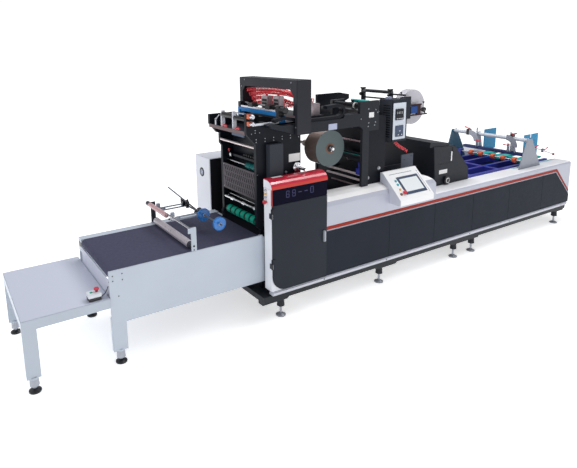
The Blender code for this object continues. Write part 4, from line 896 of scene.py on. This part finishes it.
def second_frame_details():
    screws = Piece("frame_screws", "dull screw")
    screws.screws_on(FRAME_FACE, ARM_SCREWS, 0.0065)
    for x, y, z in SHAFT_NUTS:
        screws.turned([(0.018, 0), (0.018, 0.006), (0.012, 0.009), (0.012, 0.014), (0, 0.014)],
                      (x, y + SINK, z), NEAR)
    Piece("frame_rods", "black plastic").rod((-0.160, ARM_BACK, 1.290), (-0.160, -0.020, 1.290), 0.030, 20)
    collars = Piece("frame_rod_collars", "pink metal")
    collars.cap((-0.160, -0.300, 1.290), NEAR, (0.032, 0.012), (0.026, 0.014))
    collars.rod((-0.170, ARM_BACK, 1.467), (-0.170, -0.100, 1.467), 0.009)
    collars.rod((-0.170, ARM_BACK, 1.020), (-0.170, -0.060, 1.020), 0.008)
    slots = Piece("frame_plate_slot", "black plastic")
    for left, right, low in ((0.470, 0.500, 1.190), (0.575, 0.600, 1.222)):
        slots.box((left, -0.4415, low), (right, -0.440, low + 0.010), 0.0004)
    Piece("frame_teal_rod", "teal belt").rod((-0.180, ARM_BACK, 1.326), (-0.180, -0.060, 1.326), 0.010)
    blue = Piece("frame_blue_blocks", "navy")
    blue.box((-0.200, ARM_BACK, 1.140), (-0.160, -0.440, 1.200), 0.003)
    blue.box((-0.190, ARM_BACK, 1.200), (-0.170, -0.460, 1.262), 0.003)


def top_details():
    """Knobs and clamps on the unwind's top frame and on the rear roll's bracket."""
    knobs = Piece("top_knobs", "black plastic")
    for x, y, z in ((0.384, 0.062, 1.880), (0.420, 0.108, 1.868), (0.378, 0.105, 1.850)):
        knobs.knob((x, y, z), (-0.5, -0.6, 0.6), 0.019, 0.030)
    for y, height in ((0.085, 0.030), (-0.305, 0.028)):
        for x in (0.386, 0.414):
            knobs.knob((x, y, 1.903), UP, 0.015, height)
        knobs.lever((0.400, y, 1.900), LEFT, (0, 0.030, 0.030), 0.007)
        knobs.knob((0.381, y, 1.870), LEFT, 0.012, 0.026)
    knobs.knob((0.400, -0.443, 1.886), UP, 0.010, 0.022)
    for x, z in ((0.745, 1.766), (0.764, 1.660)):
        knobs.knob((x, -0.438, z), UP, 0.011, 0.022)
    knobs.knob((0.700, -0.436, 1.704), RIGHT, 0.022, 0.075)
    Piece("meter_tab", "lilac plate").box((0.245, -0.420, 1.8445), (0.300, -0.380, 1.866))


def meter_details():
    face = FRAME_FACE
    Piece("meter_panel", "meter panel").box((0.200, face - 0.002, 1.450), (0.378, face + SINK, 1.815))
    Piece("meter_cases", "dark glass").box((0.227, face - 0.012, 1.645), (0.340, face - 0.001, 1.755), 0.003)
    Piece("meter_case_low", "bezel").box((0.232, face - 0.010, 1.477), (0.343, face - 0.001, 1.588), 0.003)
    buttons = Piece("meter_buttons", "steel")
    for k in range(4):
        left = 0.238 + 0.025 * k
        buttons.box((left, face - 0.0135, 1.655), (left + 0.017, face - 0.0115, 1.663), 0.0006)
    for x in (0.262, 0.312):
        buttons.knob((x, face - 0.0095, 1.500), NEAR, 0.008, 0.008)
    digits = Piece("meter_digits", "label")
    for k in range(4):
        seven_segment(digits, 8, (0.244 + 0.022 * k, face - 0.0122, 1.708), 0.010, 0.020)
    light = Piece("meter_light", "lilac plate")
    light.box((0.280, face - 0.0108, 1.528), (0.300, face - 0.0095, 1.540), 0.0004)


SEGMENTS = {0: "abcdef", 8: "abcdefg", "-": "g"}


def seven_segment(piece, figure, corner, width, height):
    """One figure of a display on a face towards -Y; corner is its lower left."""
    x, y, z = corner
    line = height * 0.11
    right, middle, top = x + width, z + height / 2, z + height
    bars = {
        "a": (x, top - line, right, top),
        "b": (right - line, middle, right, top),
        "c": (right - line, z, right, middle),
        "d": (x, z, right, z + line),
        "e": (x, z, x + line, middle),
        "f": (x, middle, x + line, top),
        "g": (x, middle - line / 2, right, middle + line / 2),
    }
    for name in SEGMENTS[figure]:
        start, low, end, high = bars[name]
        piece.box((start, y - 0.0006, low), (end, y + 0.0004, high), 0)


# Details of the cabinets, covers and operator's box


CABINET_FACE = -1.347
RAIL_FACE = -0.652
STOP_PROFILE = [(0.010, 0), (0.010, 0.012), (0.019, 0.018), (0.018, 0.028), (0, 0.031)]
VENT_Y, VENT_Z = 0.638, 1.121


def cabinet_details():
    digits = Piece("display_digits", "digits")
    for k, figure in enumerate((8, 8, "-", "-", 0)):
        seven_segment(digits, figure, (-1.200 + 0.066 * k, -0.6541, 1.122), 0.036, 0.062)
    surface, row_y = CABINET_FACE + SINK, -0.571
    grey = Piece("cabinet_knobs_grey", "steel")
    for z in (1.196, 1.134):
        grey.knob((surface, row_y, z), LEFT, 0.011, 0.018)
    Piece("cabinet_knob_yellow", "yellow plastic").knob((surface, row_y, 1.165), LEFT, 0.011, 0.018)
    Piece("cabinet_stop", "red plastic").turned(STOP_PROFILE, (surface, row_y, 1.092), LEFT)


def hood_details():
    back, front, low, spring, top = -0.5315, -0.6505, 1.2135, 1.2145, 1.2835
    side = Piece("hood_side", "white")
    outline = [(back, low), (front, low)]
    for k in range(9):
        angle = math.pi / 2 * k / 8
        outline.append((front + 0.072 * (1 - math.cos(angle)), spring + (top - spring) * math.sin(angle)))
    outline.append((back, top))
    side.prism(outline, CABINET_FACE - 0.0016, CABINET_FACE + 0.001)
    # The apron lies in the raised cover's painted shade zone, so it takes the darker white as well.
    Piece("cover_apron", "raised cover").box((-0.7368, -0.6452, 0.7655), (0.745, -0.6405, 0.950), 0.0008)
    edge = Piece("display_edge", "crimson")
    edge.box((CABINET_FACE - 0.001, -0.6545, 1.070), (CABINET_FACE + 0.0045, -0.6395, 1.2125))
    Piece("hood_plate", "label").box((-1.275, -0.566, 1.2895), (-1.170, -0.5335, 1.2908), 0.0002)


def vent_details():
    centre = (CABINET_FACE + SINK, VENT_Y, VENT_Z)
    Piece("far_vent_middle", "lilac plate").disc(centre, LEFT, 0.030, 0.0045)
    vent = Piece("far_vent", "black plastic")
    vent.turned([(0.048, 0), (0.048, 0.003), (0.042, 0.006), (0.040, 0.002), (0, 0.002)], centre, LEFT, 32)
    for k in range(1, 6):
        angle = math.pi * k / 6
        half = 0.040 * math.sin(angle)
        z = VENT_Z + 0.036 * math.cos(angle)
        vent.box((CABINET_FACE - 0.005, VENT_Y - half, z - 0.0015),
                 (CABINET_FACE - 0.0015, VENT_Y + half, z + 0.0015), 0)
    rail_screws = [(x, 0.261) for x in (-0.767, 0.040, 1.355, 2.100, 3.220)]
    Piece("rail_screws", "black plastic").screws_on(RAIL_FACE, rail_screws, 0.006)


def operator_details():
    """Screen, buttons and lines on the sloped face; u runs across it and t up it, both from 0 to 1."""
    left, width, low, high = 0.058, 0.474, Vector((0, -0.790, 0.905)), Vector((0, -0.545, 1.140))
    along = (high - low).normalized()
    normal = Vector((0, -along.z, along.y))
    slope = (high - low).length

    def spot(u, t, lift=0.0):
        return low + along * (slope * t) + normal * lift + Vector((left + width * u, 0, 0))

    def slab(piece, u0, t0, u1, t1, bottom, top, bevel):
        before = set(piece.bm.verts)
        piece.box((0, 0, 0), (width * (u1 - u0), slope * (t1 - t0), top - bottom), bevel)
        turn = Matrix((RIGHT, along, normal)).transposed().to_4x4()
        turn.translation = spot(u0, t0, bottom)
        made = [vert for vert in piece.bm.verts if vert not in before]
        bmesh.ops.transform(piece.bm, matrix=turn, verts=made)

    slab(Piece("screen_bezel", "bezel"), 0.259, 0.148, 0.893, 0.745, -0.0045, 0.002, 0.002)
    slab(Piece("screen", "screen"), 0.315, 0.235, 0.840, 0.670, 0.0015, 0.0026, 0.0004)
    for k, (finish, u, t, radius) in enumerate((
            ("cyan plastic", 0.193, 0.633, 0.013), ("cyan plastic", 0.188, 0.509, 0.013),
            ("yellow plastic", 0.168, 0.346, 0.012), ("brown plastic", 0.122, 0.192, 0.014)), 1):
        button = Piece("button_" + str(k), finish)
        button.cap(spot(u, t, -SINK), normal, (radius, 0.006), (radius * 0.85, 0.009))
    stop = Piece("operator_stop", "red plastic")
    stop.turned([(0.010, 0), (0.010, 0.008), (0.020, 0.012), (0.019, 0.024), (0, 0.027)],
                spot(0.216, 0.214, -SINK), normal)
    line = Piece("operator_line", "bezel")
    slab(line, 0.130, 0.865, 0.800, 0.878, -SINK, 0.0006, 0)
    slab(line, 0.935, 0.090, 0.942, 0.870, -SINK, 0.0006, 0)


# Details of the transverse housing, film roll and delivery


def housing_details():
    face = -0.446
    left, right, low, high, line = 1.050, 1.240, 1.066, 1.240, 0.003
    seam = Piece("housing_seam", "black plastic")
    for start, bottom, end, top in ((left, low, right, low + line), (left, high - line, right, high),
                                    (left, low, left + line, high), (right - line, low, right, high)):
        seam.box((start, face - 0.0008, bottom), (end, face + SINK, top), 0)
    Piece("housing_handle", "aluminium").box((1.224, face - 0.006, 1.082), (1.244, face + SINK, 1.193), 0.002)
    wheel_x, wheel_z = 1.152, 0.876
    ring = Piece("handwheel_ring", "label", "handwheel")
    ring.cap((wheel_x, -0.4803, wheel_z), NEAR, (0.030, 0.0012), (0.026, 0.0016), 28)
    middle = Piece("handwheel_middle", "black plastic", "handwheel")
    middle.cap((wheel_x, -0.4815, wheel_z), NEAR, (0.021, 0.0012), (0.015, 0.003), 28)
    middle.knob((wheel_x + 0.022, -0.4815, wheel_z + 0.016), NEAR, 0.006, 0.012)


def film_details():
    roll_x, roll_z, jaw_circle = -0.492, 1.428, 0.022
    profile = [(0.034, 0), (0.052, 0), (0.052, 0.0012), (0.0345, 0.003)]
    Piece("film_core", "brown plastic", "film_roll").turned(profile, (roll_x, -0.400, roll_z), NEAR, 36)
    jaws = Piece("film_jaws", "steel", "film_roll")
    for k in range(3):
        angle = 2 * math.pi * k / 3 + 0.4
        x, z = roll_x + jaw_circle * math.cos(angle), roll_z + jaw_circle * math.sin(angle)
        jaws.box((x - 0.006, -0.4218, z - 0.006), (x + 0.006, -0.4113, z + 0.006))


def quarter_ring(y, z, outer, inner, steps=8):
    """The (y, z) outline of a plate that curves from above the centre (y, z) down to its near side."""
    angles = [math.pi / 2 * k / steps for k in range(steps + 1)]
    corners = [(outer, angle) for angle in angles] + [(inner, angle) for angle in reversed(angles)]
    return [(y - radius * math.sin(angle), z + radius * math.cos(angle)) for radius, angle in corners]


def tube_details():
    """Clamps, levers and hangers on the delivery's cross tube."""
    x, z = 2.590, 1.167
    blocks = Piece("tube_clamps", "black plastic")
    for y in (0.302, -0.311):
        blocks.box((x - 0.034, y - 0.018, z - 0.030), (x + 0.034, y + 0.018, z + 0.050), 0.003)
    for k in range(5):
        blocks.knob((x - 0.0295, -0.046 - 0.042 * k, 0.981), LEFT, 0.008, 0.018)
    levers = Piece("tube_levers", "red plastic")
    levers.lever((x, 0.302, z + 0.048), UP, (-0.010, 0.062, 0.016), 0.007)
    levers.lever((x, -0.311, z + 0.048), UP, (-0.010, -0.060, 0.012), 0.007)
    levers.lever((x - 0.030, 0.150, 1.080), LEFT, (-0.004, -0.058, 0.004), 0.006)
    levers.lever((x - 0.030, -0.280, 1.080), LEFT, (-0.004, 0.058, 0.004), 0.006)
    seats = Piece("lever_seats", "aluminium")
    for y in (0.150, -0.280):
        seats.box((x - 0.031, y - 0.014, 0.998), (x - 0.015, y + 0.014, 1.100))
    hangers = Piece("tube_hangers", "hanger")
    for y in (0.275, -0.255):
        hangers.prism(quarter_ring(y, 1.064, 0.150, 0.078), x - 0.037, x - 0.0325)
        hangers.rod((x - 0.025, y - 0.114, 0.999), (x - 0.032, y - 0.114, 1.080), 0.009)


def stop_details():
    """The strip beside the deck, and the stop rod over it with its levers."""
    Piece("housing_strip", "cyan strip").box((2.400, -0.470, 0.8248), (3.300, -0.432, 0.829))
    holes = Piece("strip_holes", "black plastic")
    for k in range(12):
        holes.disc((2.435 + 0.075 * k, -0.451, 0.8288), UP, 0.005, 0.0004, 12)
    rods = Piece("stop_rods", "steel")
    rods.rod((2.840, -0.450, 1.040), (3.310, -0.450, 0.894), 0.006)
    rods.box((2.830, -0.462, 0.825 - SINK), (2.854, -0.438, 1.053), 0.002)
    rods.box((3.036, -0.464, 0.955), (3.064, -0.436, 1.000), 0.002)
    levers = Piece("stop_levers", "red plastic")
    levers.lever((2.842, -0.461, 1.045), NEAR, (0.060, 0, 0.022), 0.006)
    levers.lever((3.050, -0.463, 0.990), NEAR, (0.070, 0, 0.024), 0.006)
    levers.cap((3.300, -0.450, 0.897), (1, 0, -0.31), (0.016, 0.014), (0.012, 0.018), 16)


def add_details():
    conveyor_details()
    bracket_details()
    head_details()
    bare_plates()
    guide_details()
    tray_details()
    ledge_details()
    beam_details()
    second_frame_details()
    top_details()
    meter_details()
    cabinet_details()
    hood_details()
    vent_details()
    operator_details()
    housing_details()
    film_details()
    tube_details()
    stop_details()
    for piece in Piece.every:
        piece.make()


def main():
    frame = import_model()
    make_camera()
    make_looks()
    make_cords()
    make_floor()
    make_light()
    dress_nodes(frame)
    add_details()


main()
